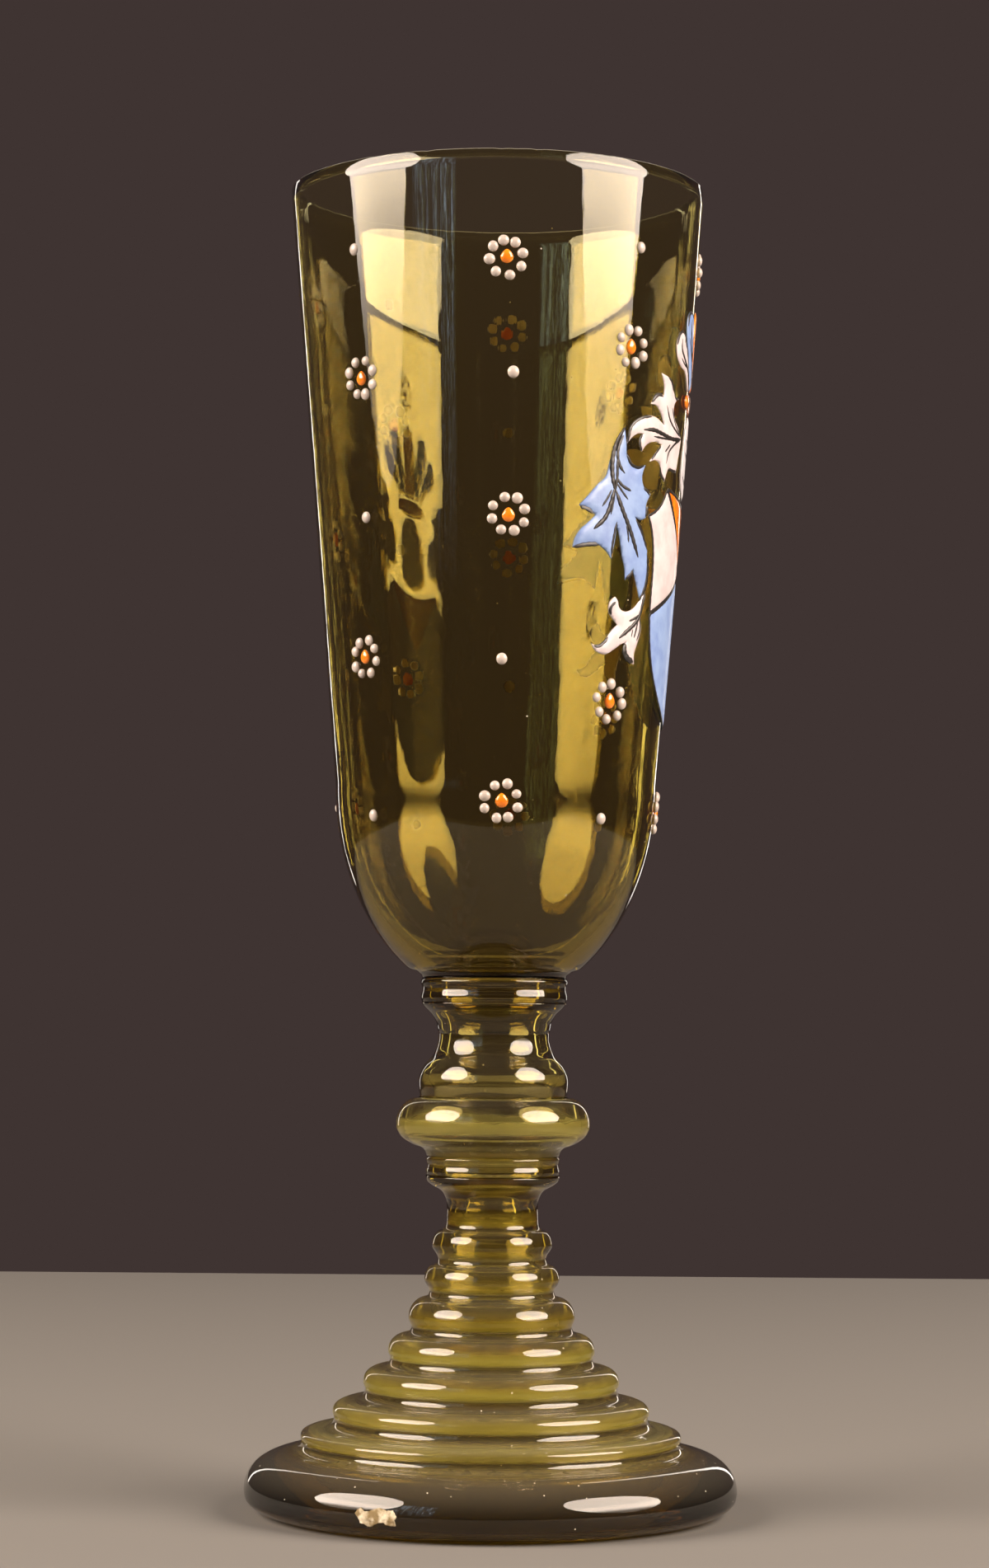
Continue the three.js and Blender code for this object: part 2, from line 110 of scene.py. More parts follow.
# Free-blown olive soda glass: fire-polished, so it is clear and sharp in its highlights, with
# soft ripples from the blowing and fine upright cords from the drawing. Where no cloth reaches,
# inside the stem and foot, a film of dust makes it glow softly, and single specks lie outside.
def makeGlass():
    g = blownGlass
    material, tree = emptyMaterial("free-blown olive glass")
    place = addNode(tree, "TexCoord").outputs["Object"]
    tall = addNode(tree, "Mapping", {"Vector": place, "Scale": (1, 1, 0.4)})
    ripple = addNode(tree, "TexNoise", {
        "Vector": tall, "Scale": 1 / (g["rippleSize"] * mm), "Detail": 1.5, "Roughness": 0.4})
    upright = addNode(tree, "Mapping", {"Vector": place, "Scale": (1, 1, 0.035)})
    cords = addNode(tree, "TexNoise", {"Vector": upright, "Scale": 1 / (g["cordSize"] * mm), "Detail": 2})
    rippled = addNode(tree, "Bump", {"Height": ripple, "Strength": 1, "Distance": g["ripple"] * mm})
    height = addNode(tree, "SeparateXYZ", {0: place})
    drawn = addNode(tree, "MapRange", {  # the cords start at the bowl's bottom
        "Value": height.outputs[2], "From Min": 0.12, "From Max": 0.15, "To Min": 0.1, "To Max": 1})
    corded = addNode(tree, "Bump", {
        "Height": cords, "Strength": drawn, "Distance": g["cords"] * mm, "Normal": rippled})
    # Dust film: streaked upright, only where the mesh says so
    film = addNode(tree, "Attribute", attribute_name="film").outputs["Fac"]
    streaks = addNode(tree, "Mapping", {"Vector": place, "Scale": (1, 1, 0.12)})
    streak = addNode(tree, "TexNoise", {
        "Vector": streaks, "Scale": 1 / (g["streakSize"] * mm), "Detail": 1})
    share = addNode(tree, "MapRange", {
        "Value": streak, "From Min": 0.3, "From Max": 0.7,
        "To Min": g["filmShare"][0], "To Max": g["filmShare"][1]})
    cover = addNode(tree, "Math", {0: film, 1: share}, operation="MULTIPLY")
    # Specks of about 0.3 mm, most of them low down and on ledges
    cells = addNode(tree, "TexVoronoi", {"Vector": place, "Scale": 1 / (g["speckSpacing"] * mm)})
    near = addNode(tree, "Math", {0: cells.outputs["Distance"], 1: 0.075}, operation="LESS_THAN")
    dice = addNode(tree, "SeparateColor", {0: cells.outputs["Color"]})
    facing = addNode(tree, "SeparateXYZ", {0: addNode(tree, "NewGeometry").outputs["Normal"]})
    ledge = addNode(tree, "MapRange", {
        "Value": facing.outputs[2], "From Min": 0.1, "From Max": 0.9, "To Min": 0.25, "To Max": 1})
    lowness = addNode(tree, "MapRange", {
        "Value": height.outputs[2], "From Min": 0.01, "From Max": 0.07, "To Min": 0.5, "To Max": 0.08})
    chance = addNode(tree, "Math", {0: ledge, 1: lowness}, operation="MULTIPLY")
    chosen = addNode(tree, "Math", {0: dice, 1: chance}, operation="LESS_THAN")
    speck = addNode(tree, "Math", {0: near, 1: chosen}, operation="MULTIPLY")
    # What colour the dust is. Clear glass has none of its own, its colour is in its thickness
    bare = addNode(tree, "Mix", {0: lowness, 6: linear("fdfdfa"), 7: linear(g["dust"])}, data_type="RGBA")
    filmed = addNode(tree, "Mix", {0: film, 6: bare.outputs[2], 7: linear(g["film"])}, data_type="RGBA")
    colour = addNode(tree, "Mix", {
        0: speck, 6: filmed.outputs[2], 7: linear(g["speck"])}, data_type="RGBA")
    dusty = addNode(tree, "Math", {0: cover, 1: speck}, operation="MAXIMUM")
    upwards = addNode(tree, "MapRange", {
        "Value": facing.outputs[2], "From Min": 0.05, "From Max": 0.9, "To Min": 0.1, "To Max": 1})
    low = addNode(tree, "Math", {0: upwards, 1: lowness}, operation="MULTIPLY")
    veil = addNode(tree, "Math", {0: low, 1: g["haze"]}, operation="MULTIPLY")
    hidden = addNode(tree, "Math", {0: dusty, 1: veil}, operation="MAXIMUM")
    clear = addNode(tree, "Math", {0: 1, 1: hidden}, operation="SUBTRACT")
    roughness = addNode(tree, "MapRange", {
        "Value": dusty, "To Min": g["roughness"], "To Max": g["filmRoughness"]})
    shader = addNode(tree, "BsdfPrincipled", {
        "Base Color": colour.outputs[2], "Roughness": roughness, "IOR": g["ior"],
        "Transmission Weight": clear, "Normal": corded})
    # Where two gathers are fused, light runs straight from one into the other
    seam = addNode(tree, "Attribute", attribute_name="seam").outputs["Fac"]
    through = addNode(tree, "BsdfTransparent", {"Color": (1, 1, 1, 1)})
    surface = addNode(tree, "MixShader", {0: seam, 1: shader, 2: through})
    volume = addNode(tree, "VolumeAbsorption", {"Color": linear(g["amber"]), "Density": g["density"]})
    addNode(tree, "OutputMaterial", {"Surface": surface, "Volume": volume})
    return material


# Sizes and heights of its unevenness in millimetres
firedEnamel = {"cloudSize": 3.85, "clouds": 0.12, "grainSize": 0.385, "grain": 0.012, "ior": 1.52,
               "coatRoughness": 0.08}


# Fired enamel: ground coloured glass melted on thickly. It is opaque, softly glossy and a
# little uneven in tone and surface.
def makeEnamel(name, body, shade, roughness, coat):
    e = firedEnamel
    material, tree = emptyMaterial(name)
    place = addNode(tree, "TexCoord").outputs["Object"]
    cloud = addNode(tree, "TexNoise", {"Vector": place, "Scale": 1 / (e["cloudSize"] * mm), "Detail": 3})
    grain = addNode(tree, "TexNoise", {"Vector": place, "Scale": 1 / (e["grainSize"] * mm), "Detail": 2})
    tone = addNode(tree, "ValToRGB", {"Fac": cloud})
    tone.color_ramp.elements[0].position = 0.32
    tone.color_ramp.elements[0].color = linear(shade)
    tone.color_ramp.elements[1].position = 0.62
    tone.color_ramp.elements[1].color = linear(body)
    uneven = addNode(tree, "Bump", {"Height": cloud, "Strength": 1, "Distance": e["clouds"] * mm})
    grained = addNode(tree, "Bump", {
        "Height": grain, "Strength": 1, "Distance": e["grain"] * mm, "Normal": uneven})
    shader = addNode(tree, "BsdfPrincipled", {
        "Base Color": tone, "Roughness": roughness, "IOR": e["ior"],
        "Coat Weight": coat, "Coat Roughness": e["coatRoughness"], "Normal": grained})
    addNode(tree, "OutputMaterial", {"Surface": shader})
    return material


# Sizes and the depth of its creases in millimetres
ragPaper = {"clean": "e2d7bd", "browned": "86734f", "fibreSize": 0.667, "stainSize": 2.38, "crease": 0.08,
            "roughness": 0.9}


# Aged rag paper stuck down with glue: matt, fibrous and creased, and browned in blotches.
def makePaper():
    p = ragPaper
    material, tree = emptyMaterial("aged torn paper")
    place = addNode(tree, "TexCoord").outputs["Object"]
    fibre = addNode(tree, "TexNoise", {"Vector": place, "Scale": 1 / (p["fibreSize"] * mm), "Detail": 4})
    stain = addNode(tree, "TexNoise", {"Vector": place, "Scale": 1 / (p["stainSize"] * mm), "Detail": 3})
    tone = addNode(tree, "ValToRGB", {"Fac": stain})
    tone.color_ramp.elements[0].position = 0.38
    tone.color_ramp.elements[0].color = linear(p["browned"])
    tone.color_ramp.elements[1].position = 0.6
    tone.color_ramp.elements[1].color = linear(p["clean"])
    crease = addNode(tree, "Bump", {"Height": fibre, "Strength": 1, "Distance": p["crease"] * mm})
    shader = addNode(tree, "BsdfPrincipled", {
        "Base Color": tone, "Roughness": p["roughness"], "Normal": crease})
    addNode(tree, "OutputMaterial", {"Surface": shader})
    return material


# Backdrop card: uncoated pulp board, so it is matt and even, and takes no clear reflection.
def makeCard():
    material, tree = emptyMaterial("pale studio card")
    shader = addNode(tree, "BsdfPrincipled", {"Base Color": linear(studio["card"]), "Roughness": 0.85})
    addNode(tree, "OutputMaterial", {"Surface": shader})
    return material


glass = makeGlass()
whiteEnamel = makeEnamel("white fired enamel", "d0c5c8", "bdb3b6", 0.34, 0.25)
beadEnamel = makeEnamel("white bead enamel", "bdb2aa", "aea39b", 0.3, 0.3)
blueEnamel = makeEnamel("periwinkle blue fired enamel", "869fcb", "748cbf", 0.36, 0.2)
orangeEnamel = makeEnamel("iron orange fired enamel", "f08a1c", "cf6410", 0.14, 0.8)
greyEnamel = makeEnamel("pale grey fired enamel", "cbc8cc", "b2afb6", 0.32, 0.25)
blackEnamel = makeEnamel("black line enamel", "241f1d", "171412", 0.4, 0.1)
paper = makePaper()
print("materials made")


# Outlines and small tools

# A line through points, about one point for each step. Points that turn sharply stay corners.
def smoothLine(points, step, cornerDegrees=75, closed=False):
    points = [Vector(p) for p in points]
    count = len(points)
    ahead = [points[(i + 1) % count] - points[i] for i in range(count)]
    tangents = []
    for i in range(count):
        before, after = ahead[i - 1], ahead[i]
        if not closed and i == 0:
            tangents.append((after, after))
        elif not closed and i == count - 1:
            tangents.append((before, before))
        elif math.degrees(before.angle(after)) > cornerDegrees:
            tangents.append((before, after))
        else:
            share = before.length / (before.length + after.length)
            way = (before.normalized() * (1 - share) + after.normalized() * share).normalized()
            tangents.append((way * before.length, way * after.length))
    line = []
    for i in range(count if closed else count - 1):
        start, end = points[i], points[(i + 1) % count]
        leave, arrive = tangents[i][1], tangents[(i + 1) % count][0]
        parts = max(1, round((end - start).length / step))
        for k in range(parts):
            t = k / parts
            line.append(start * (2 * t ** 3 - 3 * t ** 2 + 1) + leave * (t ** 3 - 2 * t ** 2 + t)
                        + end * (3 * t ** 2 - 2 * t ** 3) + arrive * (t ** 3 - t ** 2))
    if not closed:
        line.append(points[-1])
    return line


# Joins lines end to end. Each joint is a corner, softened over the given reach.
def joinLines(lines, soften):
    whole = list(lines[0])
    for line, reach in zip(lines[1:], soften):
        line = list(line)
        corner = line[0]
        while len(whole) > 2 and (whole[-1] - corner).length < reach:
            whole.pop()
        while len(line) > 2 and (line[0] - corner).length < reach:
            line.pop(0)
        start, end = whole[-1], line[0]
        for k in range(1, 6):
            t = k / 6
            whole.append(start * (1 - t) ** 2 + corner * 2 * t * (1 - t) + end * t ** 2)
        whole += line
    return whole


# Steps along a quarter ellipse that leaves upright and arrives level.
def shoulderLine(start, end, step):
    reach = (Vector(end) - Vector(start)).length
    parts = max(4, round(reach * 1.1 / step))
    line = []
    for k in range(parts + 1):
        turn = k / parts * math.pi / 2
        line.append(Vector((start[0] + (end[0] - start[0]) * (1 - math.cos(turn)),
                            start[1] + (end[1] - start[1]) * math.sin(turn))))
    return line


# The radius of a line of (radius, height) points at a height.
def radiusAt(line, height):
    for low, high in zip(line, line[1:]):
        if low.y <= height <= high.y and high.y > low.y:
            return low.x + (high.x - low.x) * (height - low.y) / (high.y - low.y)
    return line[-1].x if height > line[-1].y else line[0].x


def addObject(name, bm, material, replaced=()):
    mesh = bpy.data.meshes.new(name)
    bm.to_mesh(mesh)
    bm.free()
    for polygon in mesh.polygons:
        polygon.use_smooth = True
    mesh.materials.append(material)
    piece = bpy.data.objects.new(name, mesh)
    bpy.context.scene.collection.objects.link(piece)
    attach(piece, "root")
    if replaced:
        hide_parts(*replaced)


# Spins a closed outline of (radius, height) points round the goblet's axis, and marks the inner wall.
def spin(outside, inside, steps):
    line = outside + inside
    bm = bmesh.new()
    inner = bm.verts.layers.float.new("inner")
    bm.verts.layers.float.new("film")
    verts = [bm.verts.new((point.x * mm, 0, point.y * mm)) for point in line]
    edges = [bm.edges.new(pair) for pair in zip(verts, verts[1:])]
    if line[0].x > 0:
        edges.append(bm.edges.new((verts[-1], verts[0])))
    bmesh.ops.spin(bm, geom=verts + edges, cent=(0, 0, 0), axis=(0, 0, 1), angle=2 * math.pi,
                   steps=steps, use_merge=True)
    bmesh.ops.remove_doubles(bm, verts=bm.verts, dist=0.002 * mm)
    bmesh.ops.recalc_face_normals(bm, faces=bm.faces)
    nearest = kdtree.KDTree(len(line))
    for i, point in enumerate(line):
        nearest.insert((point.x, point.y, 0), i)
    nearest.balance()
    for vert in bm.verts:
        at = (math.hypot(vert.co.x, vert.co.y) / mm, vert.co.z / mm, 0)
        vert[inner] = float(nearest.find(at)[1] >= len(outside))
    return bm


# Waves the surface as hand work does. The inner wall waves apart from the outer one, and
# both keep still at the joints.
def wave(bm, low, high, amount, size, seed):
    inner = bm.verts.layers.float["inner"]
    for vert in bm.verts:
        height = vert.co.z / mm
        reach = math.hypot(vert.co.x, vert.co.y)
        if reach < 2 * mm:
            continue
        at = Vector((vert.co.x, vert.co.y, vert.co.z * 0.25)) / (size * mm)
        at += Vector((seed, 31 * vert[inner], 0))
        calm = min(1, max(0, (height - low) / 4), max(0, (high - height) / 4))
        push = noise.noise(at) * amount * mm * calm
        vert.co.x *= 1 + push / reach
        vert.co.y *= 1 + push / reach


# Reads a list of (height, share) steps at a height.
def shareAt(steps, height):
    if height <= steps[0][0]:
        return steps[0][1]
    for (low, first), (high, last) in zip(steps, steps[1:]):
        if height <= high:
            return first + (last - first) * (height - low) / (high - low)
    return steps[-1][1]


# How thickly old dust lies on the inner wall at each height of the stem
stemDust = [
    (80.4, 0.1), (81.2, 0.02), (82.4, 0.02), (83.4, 0.25), (85.6, 0.3), (86, 0.5), (88.2, 0.5),
    (88.9, 0.03), (90.8, 0.03), (91.4, 0.6), (93.6, 0.6), (94.2, 0), (99, 0), (99.4, 0.08), (103, 0.03),
    (105, 0), (130, 0)]


# Lays dust on the inner wall, with ragged edges.
def dustInside(bm, steps, ragged=0.25):
    inner, film = bm.verts.layers.float["inner"], bm.verts.layers.float["film"]
    for vert in bm.verts:
        height = vert.co.z / mm + ragged * noise.noise(vert.co / (5 * mm))
        vert[film] = vert[inner] * shareAt(steps, height)


# Marks the faces where a piece is fused to its neighbours, outside the bore.
def fuse(bm, bore, *heights):
    seam = bm.faces.layers.float.new("seam")
    for face in bm.faces:
        level = face.verts[0].co.z / mm
        flat = all(abs(vert.co.z / mm - level) < 0.001 for vert in face.verts)
        fused = any(abs(level - height) < 0.01 for height in heights)
        reach = min(math.hypot(vert.co.x, vert.co.y) for vert in face.verts)
        face[seam] = float(flat and fused and reach > (bore - 0.1) * mm)


# Glass pieces, from the same measures as the frame

joint = 0.03  # bare gap between two pieces of glass, in millimetres

bowl = {
    "low": 128, "high": 320, "seat": 18, "shoulder": 38.9, "shoulderHeight": 46.5, "rim": 49.8,
    "bow": 0.4, "rimWall": 1.8, "shoulderWall": 2.8, "floor": 4, "wave": 0.05,
    "lean": 1.4, "leanFrom": 190,  # how far the rim leans out to the left, and from what height
    "ground": 0.16, "dull": 0.4,  # bevel of the ground rim, and how matt it is
    "chips": 14, "chipReach": 1.6, "chipDepth": (0.125, 0.3),  # reach in degrees to either side
}


def bowlLines():
    shoulderZ = bowl["low"] + bowl["shoulderHeight"]
    seatTurn = math.acos(bowl["seat"] / bowl["shoulder"])
    drop = bowl["shoulderHeight"] / math.sin(seatTurn)
    outside = [Vector((17.5, bowl["low"] + joint)), Vector((17.75, bowl["low"] + 0.8)),
               Vector((19.0, bowl["low"] + 1.7))]
    inside = []
    for k in range(41):
        turn = seatTurn * k / 40
        point = Vector((bowl["shoulder"] * math.cos(turn), shoulderZ - drop * math.sin(turn)))
        if 0 < k < 38:
            outside.insert(3, point)
        wall = bowl["shoulderWall"] + (bowl["floor"] - bowl["shoulderWall"]) * (k / 40) ** 2
        square = Vector((drop * math.cos(turn), -bowl["shoulder"] * math.sin(turn))).normalized()
        inside.append(point - square * wall)
    base = inside[-1]
    inside += [Vector((base.x * share, base.y - sag)) for share, sag in ((0.75, 0.4), (0.4, 0.5), (0, 0.5))]
    flank = []
    for k in range(41):
        t = k / 40
        swell = bowl["bow"] * 4 * t * (1 - t)
        height = shoulderZ + (bowl["high"] - shoulderZ) * t
        outside.append(Vector((bowl["shoulder"] + (bowl["rim"] - bowl["shoulder"]) * t + swell, height)))
        low = bowl["shoulder"] - bowl["shoulderWall"]
        flank.append(Vector((low + (bowl["rim"] - bowl["rimWall"] - low) * t + swell, height)))
    return outside, flank[:0:-1] + inside


def makeBowl():
    outside, inside = bowlLines()
    low = bowl["low"] + joint
    bore = collars["bowlCollar"]["bore"]
    floor = [Vector((0, low)), Vector((9, low)), Vector((bore, low))]
    ground = bowl["ground"]
    top = outside.pop()
    edge = [Vector((top.x - 0.02, top.y - ground)), Vector((top.x - ground, top.y)),
            Vector((inside[0].x + ground, top.y)), Vector((inside[0].x, top.y - ground))]
    bm = spin(floor + outside + edge[:2], edge[2:] + inside[1:], 180)
    wave(bm, bowl["low"], bowl["high"] + 3, bowl["wave"], 17, 3)
    for vert in bm.verts:  # blown a little out of round: it leans out to the left at the rim
        left = max(0, -vert.co.x / math.hypot(vert.co.x, vert.co.y, 1e-6)) ** 4
        up = max(0, vert.co.z / mm - bowl["leanFrom"])
        vert.co.x -= bowl["lean"] * mm * left * up ** 2 / (bowl["high"] - bowl["leanFrom"]) ** 2
    fuse(bm, bore, low)
    film = bm.verts.layers.float["film"]
    for vert in bm.verts:  # the ground rim is dull
        vert[film] = bowl["dull"] if vert.co.z > (top.y - 0.01) * mm else 0
    # Small chips where the rim was ground
    dice = random.Random(5)
    spots = [(dice.uniform(0, 360), dice.uniform(*bowl["chipDepth"])) for _ in range(bowl["chips"])]
    for vert in bm.verts:
        if vert.co.z > (bowl["high"] - 0.3) * mm:
            turn = math.degrees(math.atan2(vert.co.x, -vert.co.y)) % 360
            for spot, depth in spots:
                away = abs((turn - spot + 180) % 360 - 180)
                if away < bowl["chipReach"]:
                    vert.co.z -= depth * mm * (1 - away / bowl["chipReach"])
    addObject("tallBowl", bm, glass, ["bowl"])


collars = {
    "bowlCollar": {
        "node": "bowl_collar", "low": 122, "high": 128, "radius": 17.8, "dish": 0.4, "bore": 13},
    "lowerCollar": {
        "node": "lower_collar", "low": 80.4, "high": 85.2, "radius": 16.1, "dish": 0.3, "bore": 12.4},
}


# A short band with soft edges and a dished side.
def makeCollar(name):
    c = collars[name]
    low, high = c["low"] + joint, c["high"] - joint
    dished = c["radius"] - c["dish"]
    side = smoothLine(between(low, high, [
        (dished, 0), (c["radius"], 0.2), (dished, 0.58), (c["radius"], 0.9), (dished, 1)]), 0.3)
    bore = smoothLine(between(low, high, [(c["bore"], 1), (c["bore"] - 0.3, 0.5), (c["bore"], 0)]), 0.8)
    bm = spin(side, bore, 144)
    fuse(bm, c["bore"], low, high)
    dustInside(bm, stemDust)
    addObject(name, bm, glass, [c["node"]])


baluster = {"low": 99.3, "high": 122, "bell": 18.1, "waist": 13.3, "flare": 17.6, "wall": 2.2,
            "topBore": 13, "lowBore": 14.7}


# Turns (radius, share of the height) pairs into (radius, height) points between two levels.
def between(low, high, pairs):
    return [(radius, low + share * (high - low)) for radius, share in pairs]


def makeBaluster():
    b = baluster
    low, high = b["low"] + joint, b["high"] - joint
    within = b["waist"] - b["wall"]
    bell = smoothLine(between(low, high, [
        (b["bell"] - 0.4, 0), (b["bell"], 0.1), (b["bell"], 0.2), (b["bell"] - 1.2, 0.33),
        (b["waist"] + 1.2, 0.46), (b["waist"] + 0.1, 0.6), (b["waist"], 0.68)]), 0.35)
    flare = smoothLine(between(low, high, [
        (b["waist"] + 0.25, 0.7), (b["waist"] + 0.8, 0.81), (b["waist"] + 2, 0.89),
        (b["flare"] - 0.4, 0.975), (b["flare"], 1)]), 0.35)
    outside = joinLines([bell, flare], [0.3])
    inside = smoothLine(between(low, high, [
        (b["topBore"], 1), (within + 0.3, 0.86), (within, 0.67), (within + 0.5, 0.5),
        (b["bell"] - b["wall"], 0.2), (b["lowBore"], 0)]), 0.5)
    bm = spin(outside, inside, 144)
    wave(bm, b["low"], b["high"], 0.08, 9, 11)
    fuse(bm, b["topBore"] - 2, low, high)
    dustInside(bm, stemDust, 1.5)
    addObject("baluster", bm, glass, ["baluster"])


ringKnop = {"low": 85.2, "high": 99.3, "radius": 23.4, "seat": 16, "top": 18.1, "bore": 14.7, "wall": 2.4,
            "lowBore": 12.4}


def makeRingKnop():
    k = ringKnop
    low, high = k["low"] + joint, k["high"] - joint
    widest = low + (high - low) * 0.55
    within = k["radius"] - k["wall"]
    under = smoothLine(between(low, high, [
        (k["seat"], 0), (k["seat"] + 0.6, 0.1), (k["seat"] + 3.6, 0.2), (k["radius"] - 1.0, 0.34),
        (k["radius"], 0.47)]), 0.35, 85)
    outside = under + shoulderLine((k["radius"], widest), (k["top"], high), 0.35)
    inside = smoothLine([
        (k["bore"], high), (within - 1.2, widest + 4.0), (within, widest + 1.2), (within, widest - 1.4),
        (within - 2.4, low + 3.4), (k["lowBore"], low)], 0.5)
    bm = spin(outside, inside, 144)
    wave(bm, k["low"], k["high"], 0.08, 10, 17)
    fuse(bm, k["lowBore"], low, high)
    dustInside(bm, stemDust)
    addObject("ringKnop", bm, glass, ["ring_knop"])


foot = {
    # Of each ring from the rim up: radius, height, height of its belly, how square its shoulder is,
    # depth of the waist under it, how far the sweep below it rises and reaches out, its bore where
    # that isn't a wall's thickness in, and how much dust lies inside it and how high up
    "rings": [
        {"radius": 59.25, "height": 15.1, "belly": 5.4, "square": 2.2},
        {"radius": 45.8, "height": 5.4, "belly": 2.8, "square": 2.8, "waist": 0.35, "rise": 1.7,
         "reach": 1.7, "dust": 0.75, "dustAt": 3.6},
        {"radius": 38.1, "height": 6.9, "belly": 3.3, "square": 2.5, "waist": 0.4, "rise": 2.1,
         "reach": 1.7, "dust": 0.8, "dustAt": 3.1},
        {"radius": 30.8, "height": 7.8, "belly": 3.4, "square": 2.4, "waist": 0.45, "rise": 1.9,
         "reach": 1.4, "dust": 1, "dustAt": 3.1},
        {"radius": 24.9, "height": 7.7, "belly": 3.0, "square": 2.2, "waist": 0.5, "rise": 1.6,
         "reach": 1.2, "dust": 1, "dustAt": 2.7},
        {"radius": 20.1, "height": 8.7, "belly": 3.4, "square": 2, "waist": 0.7, "rise": 1.2,
         "reach": 1.0, "bore": 16.4, "dust": 0.68, "dustAt": 2.8},
        {"radius": 16.3, "height": 7.8, "belly": 3.8, "square": 2, "waist": 1.3, "rise": 1.1,
         "reach": 0.9, "bore": 12.6, "dust": 0.55, "dustAt": 2.5},
        {"radius": 14.5, "height": 8.4, "belly": 4.3, "square": 2, "waist": 1.5, "rise": 1.2,
         "reach": 0.9, "bore": 10.4, "dust": 0.3, "dustAt": 2.7},
    ],
    "drop": 0.35,  # how far a sweep dips below the height where two rings meet
    "neck": {"radius": 11.1, "waist": 0, "rise": 1.3, "reach": 1.0, "lip": 16.2, "height": 12.6, "bore": 7},
    "wall": 2, "wave": 0.09,
    # Heights and shares of the dust: inside the rim, about the middle of each ring's band, and
    # inside the neck from its lower end
    "rimDust": [(0, 0), (6.5, 0.02), (8.5, 0.1), (11, 0.3), (12, 0.6), (13.2, 0.5), (14.8, 0.55)],
    "bandDust": [(-1.6, 0.35), (-0.6, 1), (0.6, 1), (1.7, 0.3)],
    "neckDust": [
        (0.4, 0.35), (1.6, 0.55), (3, 0.15), (5, 0.03), (8, 0.08), (10.2, 0.4), (11.6, 0.25), (12.6, 0.1)],
}


# The hollow sweep from the shoulder below up to a ring's waist.
def sweepLine(ring, base):
    waist = ring["radius"] - ring["waist"]
    start = Vector((waist + ring["reach"], base - foot["drop"]))
    corner = Vector((waist + 0.1, base + 0.1))
    end = Vector((waist, base + ring["rise"]))
    shares = [k / 9 for k in range(10)]
    return [start * (1 - t) ** 2 + corner * 2 * t * (1 - t) + end * t ** 2 for t in shares]


def footLines():
    rings = foot["rings"]
    outside = []
    bases = [0]
    for i, ring in enumerate(rings):
        radius, base = ring["radius"], bases[-1]
        belly = base + ring["belly"]
        above = rings[i + 1] if i + 1 < len(rings) else foot["neck"]
        if i:
            waist = radius - ring["waist"]
            low = base + ring["rise"]
            for k in range(1, 6):  # out from the waist to the belly, upright at both ends
                t = k / 6
                out = waist + (radius - waist) * (3 * t * t - 2 * t ** 3)
                outside.append(Vector((out, low + (belly - low) * t)))
        bases.append(base + ring["height"])
        sweep = sweepLine(above, bases[-1])
        run = radius - sweep[0].x
        tall = sweep[0].y - belly
        power = 2 / ring["square"]
        steps = max(14, round((run + tall) / 0.42))
        for k in range(steps):  # the shoulder, a squared quarter ellipse
            turn = k / steps * math.pi / 2
            across, up = run * math.cos(turn) ** power, tall * math.sin(turn) ** power
            outside.append(Vector((sweep[0].x + across, belly + up)))
        outside += sweep
    neck = foot["neck"]
    base = bases[-1]
    top = base + neck["height"] - joint
    reach = neck["lip"] - neck["radius"]
    outside += smoothLine([(neck["radius"] + beyond, base + share * (top - base)) for beyond, share in [
        (0, 0.18), (-0.1, 0.42), (0.1, 0.56), (reach * 0.2, 0.7), (reach * 0.75, 0.84),
        (reach * 0.93, 0.905), (reach, 1)]], 0.45)
    wide = collars["lowerCollar"]["bore"]
    inside = [(wide, top), (wide - 3, top - 2.2), (wide - 5.8, top - 5), (neck["bore"], base + 4.4),
              (neck["bore"] + 0.2, base + 1)]
    for i in range(len(rings) - 1, 0, -1):
        ring = rings[i]
        bore = ring.get("bore", ring["radius"] - foot["wall"] - 0.5)
        inside.append((bore, bases[i] + ring["belly"]))
        inside.append((bore + 0.1, bases[i] - 0.4))
    inside += [(46.6, 12.2), (49.6, 10.4), (50.4, 8.2), (49.6, 5.0), (48.6, 2.4), (49.2, 0.5), (50.8, 0.02)]
    inside = smoothLine(inside, 0.75, 130)
    under = smoothLine([(50.8, 0.02), (53.0, 0.25), (55.6, 1.0), (57.6, 2.1), (58.8, 3.4),
                        (rings[0]["radius"], rings[0]["belly"])], 0.45, 130)
    return under[:-1] + outside, inside


def makeFoot():
    outside, inside = footLines()
    top = collars["lowerCollar"]["low"] - joint
    bm = spin(outside, inside[:-1], 180)
    wave(bm, 1, top, foot["wave"], 14, 23)
    fuse(bm, collars["lowerCollar"]["bore"], top)
    steps, base = list(foot["rimDust"]), foot["rings"][0]["height"]
    for ring in foot["rings"][1:]:  # each ring holds a band of dust near its belly, with little between
        dust, middle = ring["dust"], base + ring["dustAt"]
        steps.append((base + 0.9, 0.12))
        steps += [(middle + up, dust * share) for up, share in foot["bandDust"]]
        steps.append((base + ring["height"] - 0.3, dust * 0.22))
        base += ring["height"]
    dustInside(bm, steps + [(base + up, share) for up, share in foot["neckDust"]], 0.04)
    addObject("steppedFoot", bm, glass, ["foot"])


makeBowl()
makeCollar("bowlCollar")
makeBaluster()
makeRingKnop()
makeCollar("lowerCollar")
makeFoot()
print("glass blown")

bowlSide = bowlLines()[0]
footSide = [p for p in footLines()[0] if p.x > 47 and p.y < 14]


# Enamel

# A place on the goblet: an angle from the front in radians, a height and a distance off the glass.
def onGlass(side, turn, height, off):
    tilt = math.atan2(radiusAt(side, height + 0.5) - radiusAt(side, height - 0.5), 1)
    reach = radiusAt(side, height) + off * math.cos(tilt)
    return Vector((reach * math.sin(turn), -reach * math.cos(turn), height - off * math.sin(tilt))) * mm


